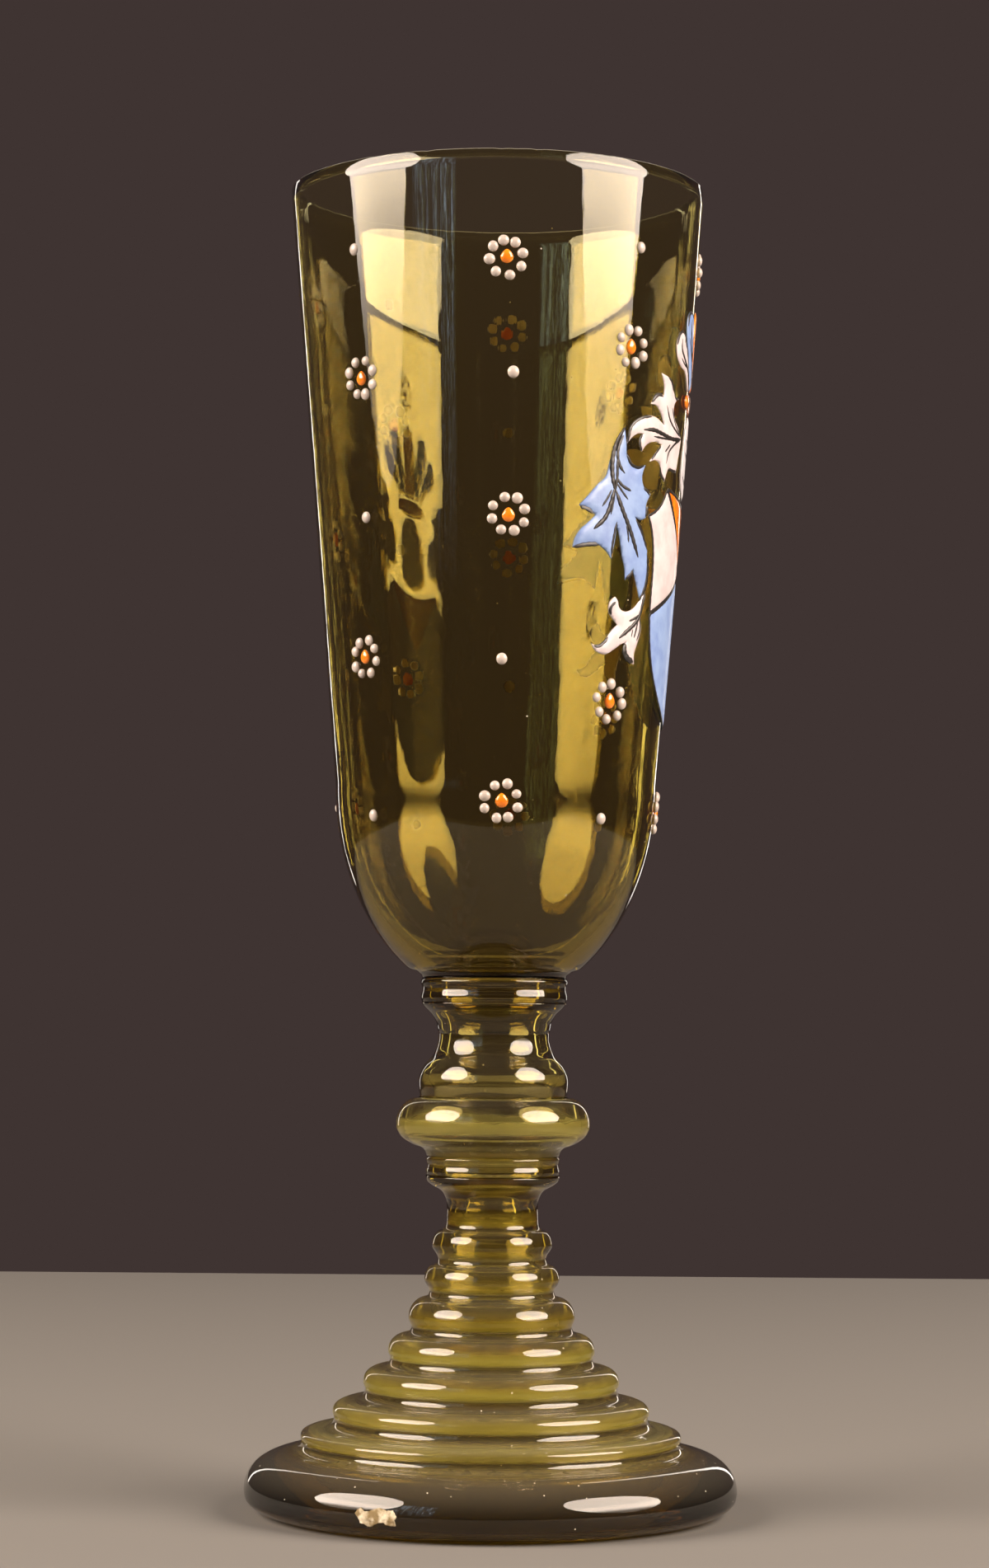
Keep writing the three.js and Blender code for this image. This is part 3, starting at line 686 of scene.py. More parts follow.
# Cuts a flat sheet into a grid, so that it can follow the glass.
def cutGrid(bm, starts, ends, step):
    for axis in (0, 1):
        cut = starts[axis]
        while cut < ends[axis]:
            at, normal = [0, 0, 0], [0, 0, 0]
            at[axis], normal[axis] = cut, 1
            bmesh.ops.bisect_plane(bm, geom=bm.verts[:] + bm.edges[:] + bm.faces[:], dist=1e-4,
                                   plane_co=at, plane_no=normal)
            cut += step


# Gives a flat sheet its thickness. The top takes its height from a function of the place.
def thicken(bm, heightOf, sunk):
    under = list(bm.faces)
    over = bmesh.ops.extrude_face_region(bm, geom=under)["geom"]
    for vert in [part for part in over if isinstance(part, bmesh.types.BMVert)]:
        vert.co.z = heightOf(vert.co)
    for vert in {v for face in under for v in face.verts}:
        vert.co.z = -sunk
    bmesh.ops.recalc_face_normals(bm, faces=bm.faces)


# Wraps flat millimetres, with Z as the thickness, round the goblet at a turn and height.
def wrapRound(bm, side, turn, height):
    for vert in bm.verts:
        level = height + vert.co.y
        around = math.radians(turn) + vert.co.x / radiusAt(side, level)
        vert.co = onGlass(side, around, level, vert.co.z)


# The turn that lays a flat piece, made with Z upwards, on the bowl at an angle and height.
def bowlSeat(turn, height):
    out = (onGlass(bowlSide, turn, height, 1) - onGlass(bowlSide, turn, height, 0)).normalized()
    along = Vector((math.cos(turn), math.sin(turn), 0))
    up = out.cross(along)
    seat = Matrix((along, up, out)).transposed().to_4x4()
    seat.translation = onGlass(bowlSide, turn, height, 0)
    return seat


bead = {"radius": 1.24, "height": 0.85, "sunk": 0.14, "ring": 4.05, "dotRadius": 1.38,
        "heartWidth": 3.1, "heartHeight": 3.4, "heartRise": 0.75, "heartPoint": 0.4}


# One drop of enamel: a low dome, cut off just inside the glass.
def addDrop(bm, seat, at, width, length, height, point=0.0):
    made = bmesh.ops.create_uvsphere(bm, u_segments=16, v_segments=10, radius=1)["verts"]
    for vert in made:
        vert.co.z = max(vert.co.z, -bead["sunk"] / height)
        if point and vert.co.y > 0:  # draws the upper end out into a point
            vert.co.x *= 1 - point * vert.co.y ** 1.3
            vert.co.y *= 1 + 0.25 * point
    size = Matrix.Diagonal((width * mm, length * mm, height * mm, 1))
    shift = Matrix.Translation((at[0] * mm, at[1] * mm, 0))
    bmesh.ops.transform(bm, matrix=seat @ shift @ size, verts=made)


# Where a flower or dot was set a little off its even place: degrees round and millimetres up
strays = {
    "bead_flower_1": (-2.1, 1.3), "bead_flower_2": (0.8, 0), "bead_flower_3": (1.1, 0),
    "bead_flower_4": (-1.4, 0.4), "bead_flower_18": (1.5, 0.8), "bead_flower_19": (-1, 0.2),
    "enamel_dot_1": (0.9, 0.7), "enamel_dot_3": (-0.4, -0.6), "enamel_dot_15": (1.9, 0),
}


def placeOf(node):
    low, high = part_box(node)
    middle = (low + high) / 2
    aside, up = strays.get(node, (0, 0))
    return math.atan2(middle.x, -middle.y) + math.radians(aside), middle.z / mm + up


def makeFlowers():
    dice = random.Random(8)
    flowers = [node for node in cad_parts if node.startswith("bead_flower_")]
    for node in sorted(flowers, key=lambda name: int(name.split("_")[-1])):
        number = node.split("_")[-1]
        turn, height = placeOf(node)
        seat = bowlSeat(turn, height)
        start = dice.uniform(0, math.tau / 8)
        bm = bmesh.new()
        for k in range(8):
            angle = start + math.tau * k / 8 + dice.uniform(-0.07, 0.07)
            ring = bead["ring"] + dice.uniform(-0.2, 0.25)
            size = bead["radius"] * dice.uniform(0.9, 1.1)
            at = (ring * math.cos(angle), ring * math.sin(angle))
            length = size * dice.uniform(0.95, 1.08)
            addDrop(bm, seat, at, size, length, bead["height"] * dice.uniform(0.85, 1.1))
        addObject("whiteBeads_" + number, bm, beadEnamel, [node])
        bm = bmesh.new()
        at = (dice.uniform(-0.25, 0.25), dice.uniform(-0.4, 0.2))
        length = bead["heartHeight"] / 2 * dice.uniform(0.9, 1.05)
        addDrop(bm, seat, at, bead["heartWidth"] / 2, length, bead["heartRise"], bead["heartPoint"])
        addObject("orangeHeart_" + number, bm, orangeEnamel)


def makeDots():
    dice = random.Random(12)
    for node in [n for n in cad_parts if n.startswith("enamel_dot_")]:
        turn, height = placeOf(node)
        bm = bmesh.new()
        size = bead["dotRadius"] * dice.uniform(0.92, 1.06)
        addDrop(bm, bowlSeat(turn, height), (0, 0), size, size * dice.uniform(1.0, 1.12), bead["height"])
        addObject("whiteDot_" + node.split("_")[-1], bm, beadEnamel, [node])


makeFlowers()
makeDots()
print("flowers and dots set")


# Painted arms. Points are millimetres right of and above the panel's middle.

panel = {"turn": 91, "height": 224.96, "edge": 0.1, "relief": 0.34, "soft": 0.55, "sunk": 0.12, "grid": 0.8,
         "brush": 1.85}

leaves = {
    "white_leaf": {
        "material": whiteEnamel, "slot": "white_enamel",
        "outline": [
            (-13.5, 33.1), (-16.2, 35.0), (-19.4, 37), (-20.6, 38.9), (-20.2, 40.6), (-17.8, 42),
            (-20.0, 42.3), (-21.7, 43.4), (-23.8, 45.7), (-28.5, 46.8), (-26.8, 44.0), (-26.5, 41.5),
            (-28.2, 42.0), (-30.1, 41.5), (-31.8, 38.9), (-29.8, 38.9), (-27.8, 37.7), (-25.1, 34.7),
            (-29.7, 36.1), (-34.9, 35.5), (-38.2, 33.0), (-38.8, 28.6), (-37.4, 30.2), (-35.9, 31.2),
            (-33.8, 31.6), (-34.9, 29.9), (-33.6, 27.2), (-31.8, 29.2), (-28.9, 30.2), (-25.4, 30),
            (-28.0, 27.8), (-30.2, 25.3), (-27.6, 25.9), (-25.6, 25.2), (-25.0, 23.0), (-22.4, 21.4),
            (-21.8, 23.2), (-20.8, 25), (-18.6, 24.4), (-15.6, 24.5), (-14.8, 27.5), (-13.9, 30.5)],
        "lines": [
            (0.28, [(-33.8, 32.5), (-29.9, 32.9), (-26.3, 32.5), (-20.7, 32.0), (-14.4, 32.8)]),
            (0.14, [(-29.7, 31.4), (-25.1, 31.5), (-19.4, 31.9)]),
            (0.17, [(-25.1, 39.4), (-22.9, 36.3), (-18.5, 34.1), (-14, 33.2)]),
            (0.15, [(-22.3, 39.3), (-19.2, 35.6), (-14.8, 33.5)]),
            (0.17, [(-22.9, 25.8), (-22.3, 28.2), (-19.2, 30.8), (-14.6, 32.7)]),
            (0.14, [(-24, 28.5), (-21.6, 30.5)]),
            (0.16, [(-24.9, 46.2), (-22.8, 45), (-21.8, 43.4)]),
            (0.24, [(-31.4, 39.4), (-30.2, 40.9), (-28.4, 41.6), (-27, 41.3)]),
            (0.19, [(-21.4, 42.6), (-20.2, 41.8), (-18.4, 41.9)]),
            (0.2, [(-33.9, 31.4), (-34.7, 30.1), (-34.4, 28.6), (-33.6, 27.5)]),
            (0.16, [(-25.8, 29.6), (-27.4, 28.2), (-29.4, 26.0)]),
            (0.2, [(-25.5, 24.8), (-24.8, 23), (-22.7, 21.7)]),
            (0.2, [(-20.7, 24.8), (-18.6, 24.6), (-15.9, 24.7)]),
            (0.2, [(-31, 36), (-34.8, 35.2), (-38, 32.8), (-38.6, 29)]),
        ],
    },
    "blue_leaf": {
        "material": blueEnamel, "slot": "blue_enamel",
        "outline": [
            (-40.0, 32.2), (-42.0, 28.4), (-43.4, 24.3), (-44.2, 20.4), (-46.3, 18.2), (-48.6, 15.4),
            (-50.5, 13.2), (-48.2, 12.6), (-45.8, 11.2), (-47.6, 9.4), (-49.7, 7.3), (-50.6, 5.4),
            (-50.9, 3.2), (-47.8, 4.2), (-44.9, 4.5), (-42.2, 3.4), (-39.9, 1.4), (-39.4, 5.0),
            (-39.2, 9.4), (-37.8, 5.8), (-36.5, 2), (-35.4, -0.4), (-34.8, -3.3), (-33.4, -2.0),
            (-32.4, -0.6), (-30.8, -3.6), (-28.8, -7.2), (-27.2, -4.6), (-26.6, -1.6), (-26.8, 1.6),
            (-27.6, 4.6), (-30.2, 8.2), (-33.6, 11.9), (-31.6, 11.3), (-29.4, 12), (-29.8, 15.0),
            (-28.4, 17.8), (-31.2, 19.0), (-32.4, 21.4), (-31.6, 24.4), (-34.2, 23.2), (-36.8, 23.6),
            (-38.4, 25.8), (-39.0, 28.8)],
        "lines": [
            (0.32, [
                (-39.9, 32.4), (-41.7, 29.6), (-42.7, 26.4), (-42.8, 23.0), (-42.2, 20.0), (-41.2, 17.2)]),
            (0.23, [(-40.3, 30.4), (-41.4, 28.0), (-41.4, 25.0), (-40.2, 22.8), (-38.8, 21.6)]),
            (0.22, [(-41.5, 24.8), (-41.1, 21.8), (-41, 19.0), (-41.2, 17.1)]),
            (0.32, [(-41.1, 17.5), (-38.3, 13.1), (-35.2, 8.7), (-31.3, 2.4)]),
            (0.15, [(-36.5, 9.7), (-35.7, 7.7), (-35.2, 5.6)]),
            (0.32, [(-41.4, 17.8), (-42.0, 14.2), (-43.2, 10.8), (-46.0, 7.9)]),
            (0.16, [(-42.2, 17.4), (-43.1, 15.5), (-44.4, 13.3)]),
            (0.15, [(-41.2, 17.1), (-41.4, 14.2), (-41.7, 11.6)]),
            (0.21, [(-41.3, 20.4), (-39.2, 18.7), (-36.2, 17.7)]),
            (0.16, [(-40.8, 19.0), (-39.0, 17.3), (-36.9, 15.6)]),
            (0.22, [(-39.5, 10.1), (-39.7, 8.5), (-40, 6.0), (-40.1, 3.9), (-39.9, 2)]),
            (0.26, [(-50.2, 12.9), (-48.4, 12.5), (-46.6, 11.6)]),
            (0.28, [(-50.6, 3.4), (-48.2, 4), (-45.6, 4.4), (-44, 4.3)]),
            (0.23, [(-33.2, 11.3), (-30.4, 8.2), (-27.9, 4.6)]),
            (0.22, [(-31.6, 18.9), (-29.8, 18.2), (-28.8, 17.4)]),
            (0.23, [(-32.4, -0.8), (-33.2, -1.8), (-34.6, -3.0)]),
            (0.28, [(-27.8, 4), (-27, 1.2), (-26.8, -2), (-27.4, -4.8), (-28.6, -6.8)]),
            (0.2, [(-29.6, 14.9), (-29.5, 13.4), (-29.7, 12.2)]),
            (0.17, [(-38.6, 26.2), (-36.6, 23.9), (-34.2, 23.4), (-32.0, 24.2)]),
        ],
    },
    "lower_leaf": {
        "material": whiteEnamel, "slot": "white_enamel",
        "outline": [
            (-27.2, -4.9), (-28.9, -7.8), (-31.3, -9.9), (-33.8, -10.6), (-35.7, -9.8), (-36.4, -8.2),
            (-37.4, -7.4), (-38.6, -8.3), (-39.1, -9.6), (-38.6, -11.4), (-37.3, -12.7), (-35.7, -13.9),
            (-37.4, -15.4), (-39.2, -17.8), (-41.2, -19), (-42.8, -18.8), (-41.3, -20.4), (-38.8, -21.1),
            (-36, -19.8), (-33.4, -18.2), (-32.3, -17.9), (-32.9, -19.2), (-32.2, -21), (-30, -22.4),
            (-28.3, -22.8), (-28.6, -20.2), (-27.6, -17.2), (-26.9, -14), (-27.7, -11.4), (-26.8, -8.4),
            (-26.5, -6.2)],
        "lines": [
            (0.3, [(-27, -5.4), (-27.4, -7.9), (-28.3, -11.1), (-29.8, -13), (-32.4, -15.1), (-34.9, -17)]),
            (0.18, [(-28.5, -11), (-30.3, -12), (-32.1, -12.7)]),
            (0.16, [(-28.9, -12.3), (-29.1, -13.8), (-29.7, -16.5)]),
            (0.16, [(-28.2, -11.6), (-27.7, -13), (-27.7, -14.7), (-28.5, -17.1)]),
            (0.1, [(-30.5, -14.5), (-30.7, -16.4)]),
            (0.2, [(-37.2, -8.6), (-38.2, -9.6), (-38.5, -10.6), (-38, -11.7)]),
            (0.2, [(-42, -19.2), (-40.8, -19.3), (-39.4, -18.4), (-38.2, -17)]),
            (0.42, [(-32.3, -18.2), (-32.7, -19.4), (-32, -20.9), (-30.4, -21.9), (-28.9, -22.2)]),
            (0.2, [(-27.3, -5.2), (-28.2, -6.4), (-29.1, -7.8)]),
        ],
    },
    "white_plume": {
        "material": whiteEnamel, "slot": "white_enamel",
        "outline": [
            (-9.6, 45), (-12.0, 47.4), (-14.8, 49.2), (-18.2, 49.9), (-20.8, 51.6), (-22.0, 54.4),
            (-21.2, 57.2), (-19.0, 58.4), (-16.6, 57.6), (-15.6, 55.6), (-13.6, 54.4), (-12.0, 52.0),
            (-10.2, 49.0), (-8.6, 46.6)],
        "lines": [
            (0.22, [(-9.4, 45.6), (-12.6, 49.6), (-16.6, 52.0), (-19.2, 54.2), (-19.4, 56.4)]),
            (0.13, [(-13.4, 50.2), (-16.4, 50.8), (-18.8, 51.8)]),
            (0.13, [(-12.4, 50.4), (-13.6, 52.4), (-15.2, 54.4)]),
            (0.2, [(-21.8, 54.6), (-21.0, 57.0), (-19.0, 58.2), (-17.0, 57.4), (-17.2, 55.8)]),
        ],
    },
    "blue_plume": {
        "material": blueEnamel, "slot": "blue_enamel",
        "outline": [
            (-7.6, 46), (-9.4, 49.4), (-11.4, 53), (-14.0, 56.2), (-15.6, 59.4), (-15.2, 62.6),
            (-12.6, 64.2), (-9.6, 63.4), (-8.4, 61.2), (-7.0, 57.6), (-5.4, 54), (-4.4, 50), (-4, 46)],
        "lines": [
            (0.22, [(-5.8, 46.6), (-7.6, 51.6), (-10.4, 56.4), (-12.4, 60.0), (-12.2, 62.4)]),
            (0.13, [(-8.6, 52.6), (-11.0, 55.0), (-13.4, 57.6)]),
            (0.13, [(-7.8, 53.4), (-7.8, 56.2), (-8.8, 59.2)]),
            (0.2, [(-15.2, 60.2), (-14.8, 62.6), (-12.6, 63.9), (-10.2, 63.0), (-10.0, 61.4)]),
        ],
    },
}

centrePieces = {
    "centre_plume": {
        "material": orangeEnamel, "slot": "orange_enamel",
        "outline": [
            (-3.2, 46), (-4.2, 51), (-4.8, 56), (-5.0, 60.4), (-3.6, 64.2), (0, 66.3), (3.6, 64.8),
            (5.0, 61), (4.6, 56), (4.0, 51), (3.2, 46)],
        "lines": [
            (0.22, [(0, 46.6), (0.3, 52), (0.2, 58), (-0.4, 62.6)]),
            (0.13, [(0.2, 52), (-1.6, 54.4), (-2.8, 57.4)]),
            (0.13, [(0.3, 52.4), (2.0, 54.8), (3.0, 57.8)]),
            (0.13, [(0.2, 56.6), (-1.4, 58.8), (-2.6, 61.6)]),
            (0.13, [(0.2, 57), (1.8, 59.2), (2.8, 61.8)]),
        ],
    },
    "torse": {
        "material": orangeEnamel, "slot": "orange_enamel",
        "outline": [
            (-11, 41.4), (-11.4, 42.6), (-10.6, 43.8), (-8, 44.5), (-5.4, 45), (-2.6, 45.3), (0, 45.4),
            (2.6, 45.3), (5.4, 45), (8, 44.5), (10.6, 43.8), (11.4, 42.6), (11, 41.4), (5.6, 40.7),
            (0, 40.5), (-5.6, 40.7)],
        "lines": [
            (0.2, [(x - 0.9, 40.9), (x + 0.1, 42.6), (x + 1.4, 44.9)]) for x in (-7.6, -3.8, 0, 3.8, 7.6)],
    },
    "helm": {
        "material": greyEnamel, "slot": "grey_enamel",
        "outline": [
            (-8, 21.6), (-9.4, 24), (-9.6, 27), (-8.8, 33), (-7.2, 37), (-3.4, 39.7), (0, 40.1),
            (3.4, 39.7), (7.2, 37), (8.8, 33), (9.6, 27), (9.4, 24), (8, 21.6), (4.4, 20.2), (0, 19.6),
            (-4.4, 20.2)],
        "lines": [
            (0.24, [(-7.2, 33.8), (-3.6, 33), (0, 32.8), (3.6, 33), (7.2, 33.8)]),
            (0.2, [(-7.6, 30.6), (-3.8, 29.8), (0, 29.6), (3.8, 29.8), (7.6, 30.6)]),
            (0.16, [(0, 32.6), (0, 29.8)]),
            (0.2, [(-8.6, 24.6), (-4.4, 23.2), (0, 22.8), (4.4, 23.2), (8.6, 24.6)]),
            (0.14, [(-3, 27.6), (-3, 25)]), (0.14, [(0, 27.2), (0, 24.6)]), (0.14, [(3, 27.6), (3, 25)]),
        ],
    },
}

shield = {"halfWidth": 24.2, "ear": 28.6, "earHeight": 12.6, "shoulder": 20.5, "shoulderHeight": 20,
          "crown": 17.5, "flank": -10, "point": -36, "crossing": 1, "gap": 0.25, "line": 0.2}


def mirrored(points):
    return [(-across, up) for across, up in reversed(points)]


# The shield's fields, parted by its diagonals.
def shieldFields():
    s = shield
    g = s["gap"]
    half, top, crown = s["halfWidth"], s["shoulder"], s["crown"]
    chief = [(-top + g, s["shoulderHeight"]), (0, s["crossing"] + g), (top - g, s["shoulderHeight"]),
             (top * 0.6, crown + 1.2), (top * 0.3, crown + 0.2), (0, crown), (-top * 0.3, crown + 0.2),
             (-top * 0.6, crown + 1.2)]
    flank = [(g, s["crossing"]), (half - 0.3, s["flank"]), (half, -5), (half + 0.2, 0), (half + 1.2, 6),
             (half + 2.6, 9.8), (s["ear"], s["earHeight"]), (s["ear"] - 2.6, s["earHeight"] + 1.2),
             (top + 2.6, s["earHeight"] + 3.4), (top, s["shoulderHeight"] - g)]
    base = [(0, s["crossing"] - g), (-half + 0.3, s["flank"] - 2 * g), (-half + 1.5, -16.5),
            (-half + 4.6, -24), (-half + 10.6, -30.6), (-6, -34.6), (0, s["point"])]
    base += mirrored(base[1:-1])
    return {
        "shield_chief": (chief, orangeEnamel, "orange_enamel"),
        "right_shield_flank": (flank, whiteEnamel, "white_enamel"),
        "left_shield_flank": (mirrored(flank), whiteEnamel, "white_enamel"),
        "shield_base": (base, blueEnamel, "blue_enamel"),
    }


def distanceTo(outline, point):
    nearest = 1e9
    for a, b in zip(outline, outline[1:] + outline[:1]):
        way = b - a
        t = max(0, min(1, (point - a).dot(way) / way.length_squared))
        nearest = min(nearest, (point - a - way * t).length_squared)
    return math.sqrt(nearest)


# How thick the enamel lies at a point: thin at its edge, full a little further in.
def reliefAt(outline, point):
    away = distanceTo(outline, point)
    return panel["edge"] + panel["relief"] * (1 - math.exp(-away / panel["soft"]))


def camelCase(node):
    first, *others = node.split("_")
    return first + "".join(word.capitalize() for word in others)


# One painted piece: a filled outline with thin edges and a fuller middle.
def makePaint(node, outline, material, corner=60):
    outline = smoothLine(outline, 0.5, corner, closed=True)
    bm = bmesh.new()
    bm.faces.new([bm.verts.new((point.x, point.y, 0)) for point in outline])
    low = Vector((min(p.x for p in outline), min(p.y for p in outline)))
    high = Vector((max(p.x for p in outline), max(p.y for p in outline)))
    cutGrid(bm, [edge + panel["grid"] for edge in low], high, panel["grid"])
    thicken(bm, lambda place: reliefAt(outline, Vector(place.xy)), panel["sunk"])
    wrapRound(bm, bowlSide, panel["turn"], panel["height"])
    addObject(camelCase(node), bm, material, [node])
    return outline


# Black enamel lines, drawn with a fine brush over a painted piece.
def drawLines(node, lines, outline):
    curve = bpy.data.curves.new("lines", "CURVE")
    curve.dimensions = "3D"
    curve.bevel_depth = 1
    curve.bevel_resolution = 1
    curve.use_fill_caps = True
    for width, points, *loop in lines:
        closed = bool(loop)
        path = smoothLine(points, 0.45, 60, closed)
        spline = curve.splines.new("POLY")
        spline.use_cyclic_u = closed
        spline.points.add(len(path) - 1)
        for k, (point, step) in enumerate(zip(spline.points, path)):
            share = k / max(1, len(path) - 1)
            taper = 1 if closed else min(1, 0.3 + 4.5 * min(share, 1 - share))
            point.co = (step.x, step.y, 0, 1)  # thin at both ends, and a little uneven in between
            point.radius = panel["brush"] * width * taper * (1 + 0.12 * math.sin(k * 1.7))
    drawn = bpy.data.objects.new("lines", curve)
    bpy.context.scene.collection.objects.link(drawn)
    bpy.context.view_layer.update()
    flat = bpy.data.meshes.new_from_object(drawn.evaluated_get(bpy.context.evaluated_depsgraph_get()))
    bpy.data.objects.remove(drawn)
    bm = bmesh.new()
    bm.from_mesh(flat)
    bmesh.ops.remove_doubles(bm, verts=bm.verts, dist=0.001)
    for vert in bm.verts:
        vert.co.z = reliefAt(outline, Vector(vert.co.xy)) + vert.co.z * 0.3
    bmesh.ops.recalc_face_normals(bm, faces=bm.faces)
    wrapRound(bm, bowlSide, panel["turn"], panel["height"])
    addObject(camelCase("lines_" + node), bm, blackEnamel)


def makeArms():
    for node, (points, material, slot) in shieldFields().items():
        outline = makePaint(node, points, material, 40)
        drawLines(node, [(shield["line"], [tuple(p) for p in outline[::2]], True)], outline)
    for kind, leaf in leaves.items():
        for hand in ("left", "right"):
            node = f"{hand}_{kind}"
            turned = mirrored if hand == "right" else list
            outline = makePaint(node, turned(leaf["outline"]), leaf["material"])
            drawLines(node, [(width, turned(points)) for width, points in leaf["lines"]], outline)
    for node, piece in centrePieces.items():
        outline = makePaint(node, piece["outline"], piece["material"])
        drawLines(node, piece["lines"], outline)


makeArms()
print("arms painted")

# The torn scrap of paper on the foot's rim

scrap = {"turn": -25.6, "height": 5.8, "thickness": 0.22, "crumple": 0.6, "sunk": 0.08, "grid": 0.3}


# The height of the paper's top at a point: large folds with small creases in them.
def crumpleAt(place):
    crumple = noise.noise(Vector((place.x * 0.9, place.y * 1.3, 4))) * 0.6
    crumple += noise.noise(Vector((place.x * 2.6, place.y * 2.6, 9))) * 0.4
    return scrap["thickness"] + scrap["crumple"] * abs(crumple)


def makeScrap():
    outline = smoothLine([
        (-5.6, 0.6), (-5.0, 1.4), (-4.2, 2.0), (-3.4, 1.2), (-1.2, 1.5), (-0.4, 1.9), (0.6, 2.3),
        (2.2, 1.6), (3.9, 1.8), (4.9, 0.5), (4.3, -0.4), (4.7, -1.5), (3.2, -1.7), (1.6, -1.0),
        (0.3, -1.2), (-1.0, -1.9), (-2.4, -2.1), (-3.1, -1.5), (-4.3, -1.4), (-4.7, -0.4),
    ], 0.35, 30, closed=True)
    dice = random.Random(3)
    outline = [p + Vector((dice.uniform(-0.1, 0.1), dice.uniform(-0.1, 0.1))) for p in outline]
    bm = bmesh.new()
    bm.faces.new([bm.verts.new((p.x, p.y, 0)) for p in outline])
    cutGrid(bm, (-5.6, -2.3), (5.6, 2.3), scrap["grid"])
    thicken(bm, crumpleAt, scrap["sunk"])
    wrapRound(bm, footSide, scrap["turn"], scrap["height"])
    addObject("paperScrap", bm, paper, ["label_scrap"])


makeScrap()
print("scrap stuck on")

# Studio: a pale card under the goblet, a dim brown-grey room, two round softboxes in front, two
# strip lights behind, and a far window in front on the left

# A light's place is its turn from the camera in degrees and its distance in metres
studio = {
    "room": "3f3432", "card": "6b6966",
    "cardLeft": -900, "cardRight": 900, "cardFront": -600, "cardBack": 760,  # millimetres
    # turn, height angle, distance, width and power of each softbox
    "softboxes": {"leftSoftbox": (-70, 27.5, 1.72, 1.4, 70), "rightSoftbox": (65, 28, 1.62, 1.42, 70)},
    "softboxColour": (1, 0.83, 0.69),
    "lowGlow": 0.15, "glow": 1.3, "topGlow": 0.78,  # at its lower edge and middle, and share at the top
    # turn, distance, width, height and power of each strip light
    "strips": {"leftStrip": (-154, 1.3, 0.045, 1.7, 0.9), "rightStrip": (160, 1.3, 0.06, 1.7, 1.2)},
    "stripColour": (1, 0.92, 0.84),
    # turn, distance, height of its middle, width, height and power of the far window
    "window": (-37, 2.1, 0.75, 0.9, 1.3, 3),
    "windowColour": (0.62, 0.82, 1),
    "bars": (34, 1.8, 1),  # how many soft bars its blind makes across and up
}


# An area light with its back to the given way, its top up, and out of the camera's sight.
def addLight(name, size, power, colour, place, away, tall=0):
    light = bpy.data.lights.new(name, "AREA")
    light.shape = "RECTANGLE" if tall else "DISK"
    light.size = size
    if tall:
        light.size_y = tall
    light.energy = power
    light.color = colour
    lamp = bpy.data.objects.new(name, light)
    lamp.location = place
    lamp.rotation_euler = away.to_track_quat("Z", "Y").to_euler()
    lamp.visible_camera = False
    bpy.context.scene.collection.objects.link(lamp)
    return light


# Opens a light's nodes. Gives its place across and up, each from 0 to 1, and its height alone.
def lightPlace(light):
    light.use_nodes = True
    across = addNode(light.node_tree, "NewGeometry").outputs["Parametric"]
    return across, addNode(light.node_tree, "SeparateXYZ", {0: across}).outputs[1]


# A softbox fades towards its lower edge and a little towards its top.
def fadeSoftbox(light):
    height = lightPlace(light)[1]
    tree = light.node_tree
    rising = addNode(tree, "MapRange", {
        "Value": height, "From Min": 0.08, "From Max": 0.27, "To Min": studio["lowGlow"],
        "To Max": studio["glow"]}, interpolation_type="SMOOTHSTEP")
    falling = addNode(tree, "MapRange", {
        "Value": height, "From Min": 0.38, "From Max": 0.55, "To Min": 1, "To Max": studio["topGlow"]},
        interpolation_type="SMOOTHSTEP")
    glow = addNode(tree, "Math", {0: rising, 1: falling}, operation="MULTIPLY")
    tree.links.new(glow.outputs[0], tree.nodes["Emission"].inputs["Strength"])


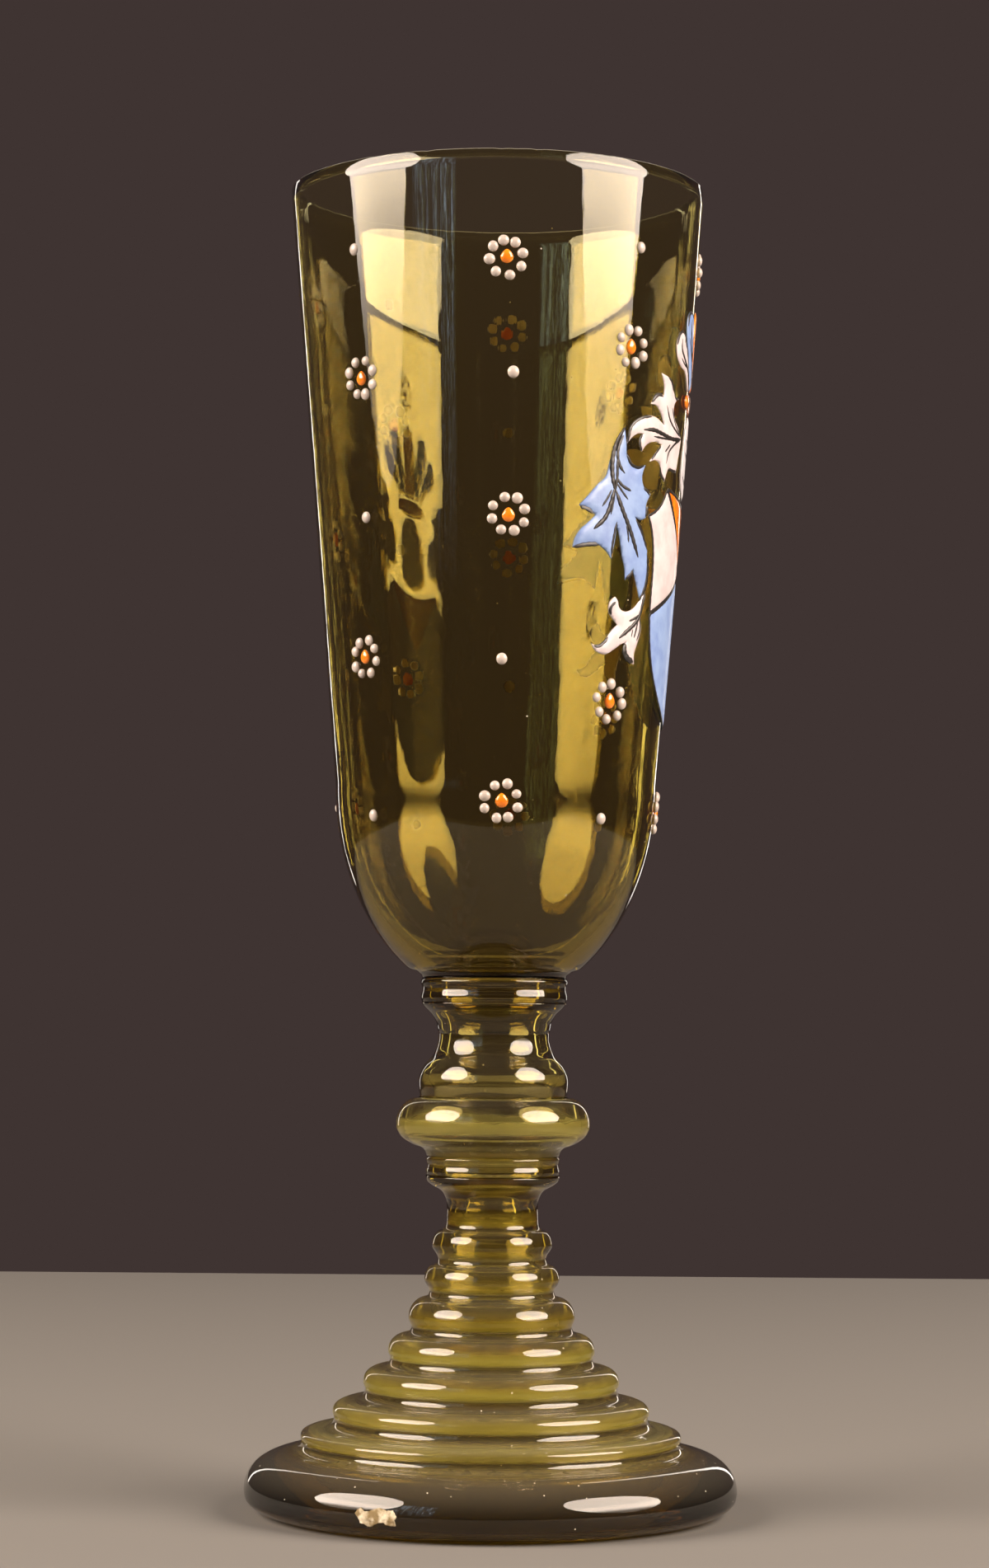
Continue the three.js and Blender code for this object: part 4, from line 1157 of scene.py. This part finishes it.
# The window is broken into narrow upright bars, as by a blind, and fades towards its sill.
def hangBlind(light):
    across, height = lightPlace(light)
    tree = light.node_tree
    fine = addNode(tree, "Mapping", {"Vector": across, "Scale": studio["bars"]})
    bars = addNode(tree, "TexNoise", {"Vector": fine, "Scale": 1, "Detail": 2})
    bright = addNode(tree, "MapRange", {
        "Value": bars, "From Min": 0.5, "From Max": 0.75, "To Min": 0.15, "To Max": 7})
    rising = addNode(tree, "MapRange", {"Value": height, "From Min": 0.02, "From Max": 0.4})
    glow = addNode(tree, "Math", {0: bright, 1: rising}, operation="MULTIPLY")
    tree.links.new(glow.outputs[0], tree.nodes["Emission"].inputs["Strength"])


# The way from the goblet to a light, by its turn from the camera and its height angle.
def wayTo(turn, rise=0):
    turn, rise = math.radians(turn), math.radians(rise)
    return Vector((math.sin(turn) * math.cos(rise), -math.cos(turn) * math.cos(rise), math.sin(rise)))


def makeStudio():
    s = studio
    bm = bmesh.new()
    corners = [(s["cardLeft"], s["cardFront"]), (s["cardRight"], s["cardFront"]),
               (s["cardRight"], s["cardBack"]), (s["cardLeft"], s["cardBack"])]
    bm.faces.new([bm.verts.new((x * mm, y * mm, 0)) for x, y in corners])
    mesh = bpy.data.meshes.new("card")
    bm.to_mesh(mesh)
    bm.free()
    mesh.materials.append(makeCard())
    card = bpy.data.objects.new("card", mesh)
    bpy.context.scene.collection.objects.link(card)
    world = bpy.data.worlds.new("room")
    world.use_nodes = True
    world.node_tree.nodes["Background"].inputs["Color"].default_value = linear(s["room"])
    bpy.context.scene.world = world
    for name, (turn, rise, distance, width, power) in s["softboxes"].items():
        away = wayTo(turn, rise)
        place = away * distance + Vector((0, 0, 0.1))
        fadeSoftbox(addLight(name, width, power, s["softboxColour"], place, away))
    for name, (turn, distance, width, height, power) in s["strips"].items():
        away = wayTo(turn)
        place = away * distance + Vector((0, 0, height / 2))
        addLight(name, width, power, s["stripColour"], place, away, height)
    turn, distance, middle, width, height, power = s["window"]
    away = wayTo(turn)
    place = away * distance + Vector((0, 0, middle))
    hangBlind(addLight("farWindow", width, power, s["windowColour"], place, away, height))


makeStudio()
cycles = bpy.context.scene.cycles
cycles.max_bounces = 24
cycles.transmission_bounces = 24
cycles.glossy_bounces = 12
cycles.diffuse_bounces = 6
cycles.transparent_max_bounces = 32
bpy.context.scene.view_settings.view_transform = "Standard"
print("studio lit")
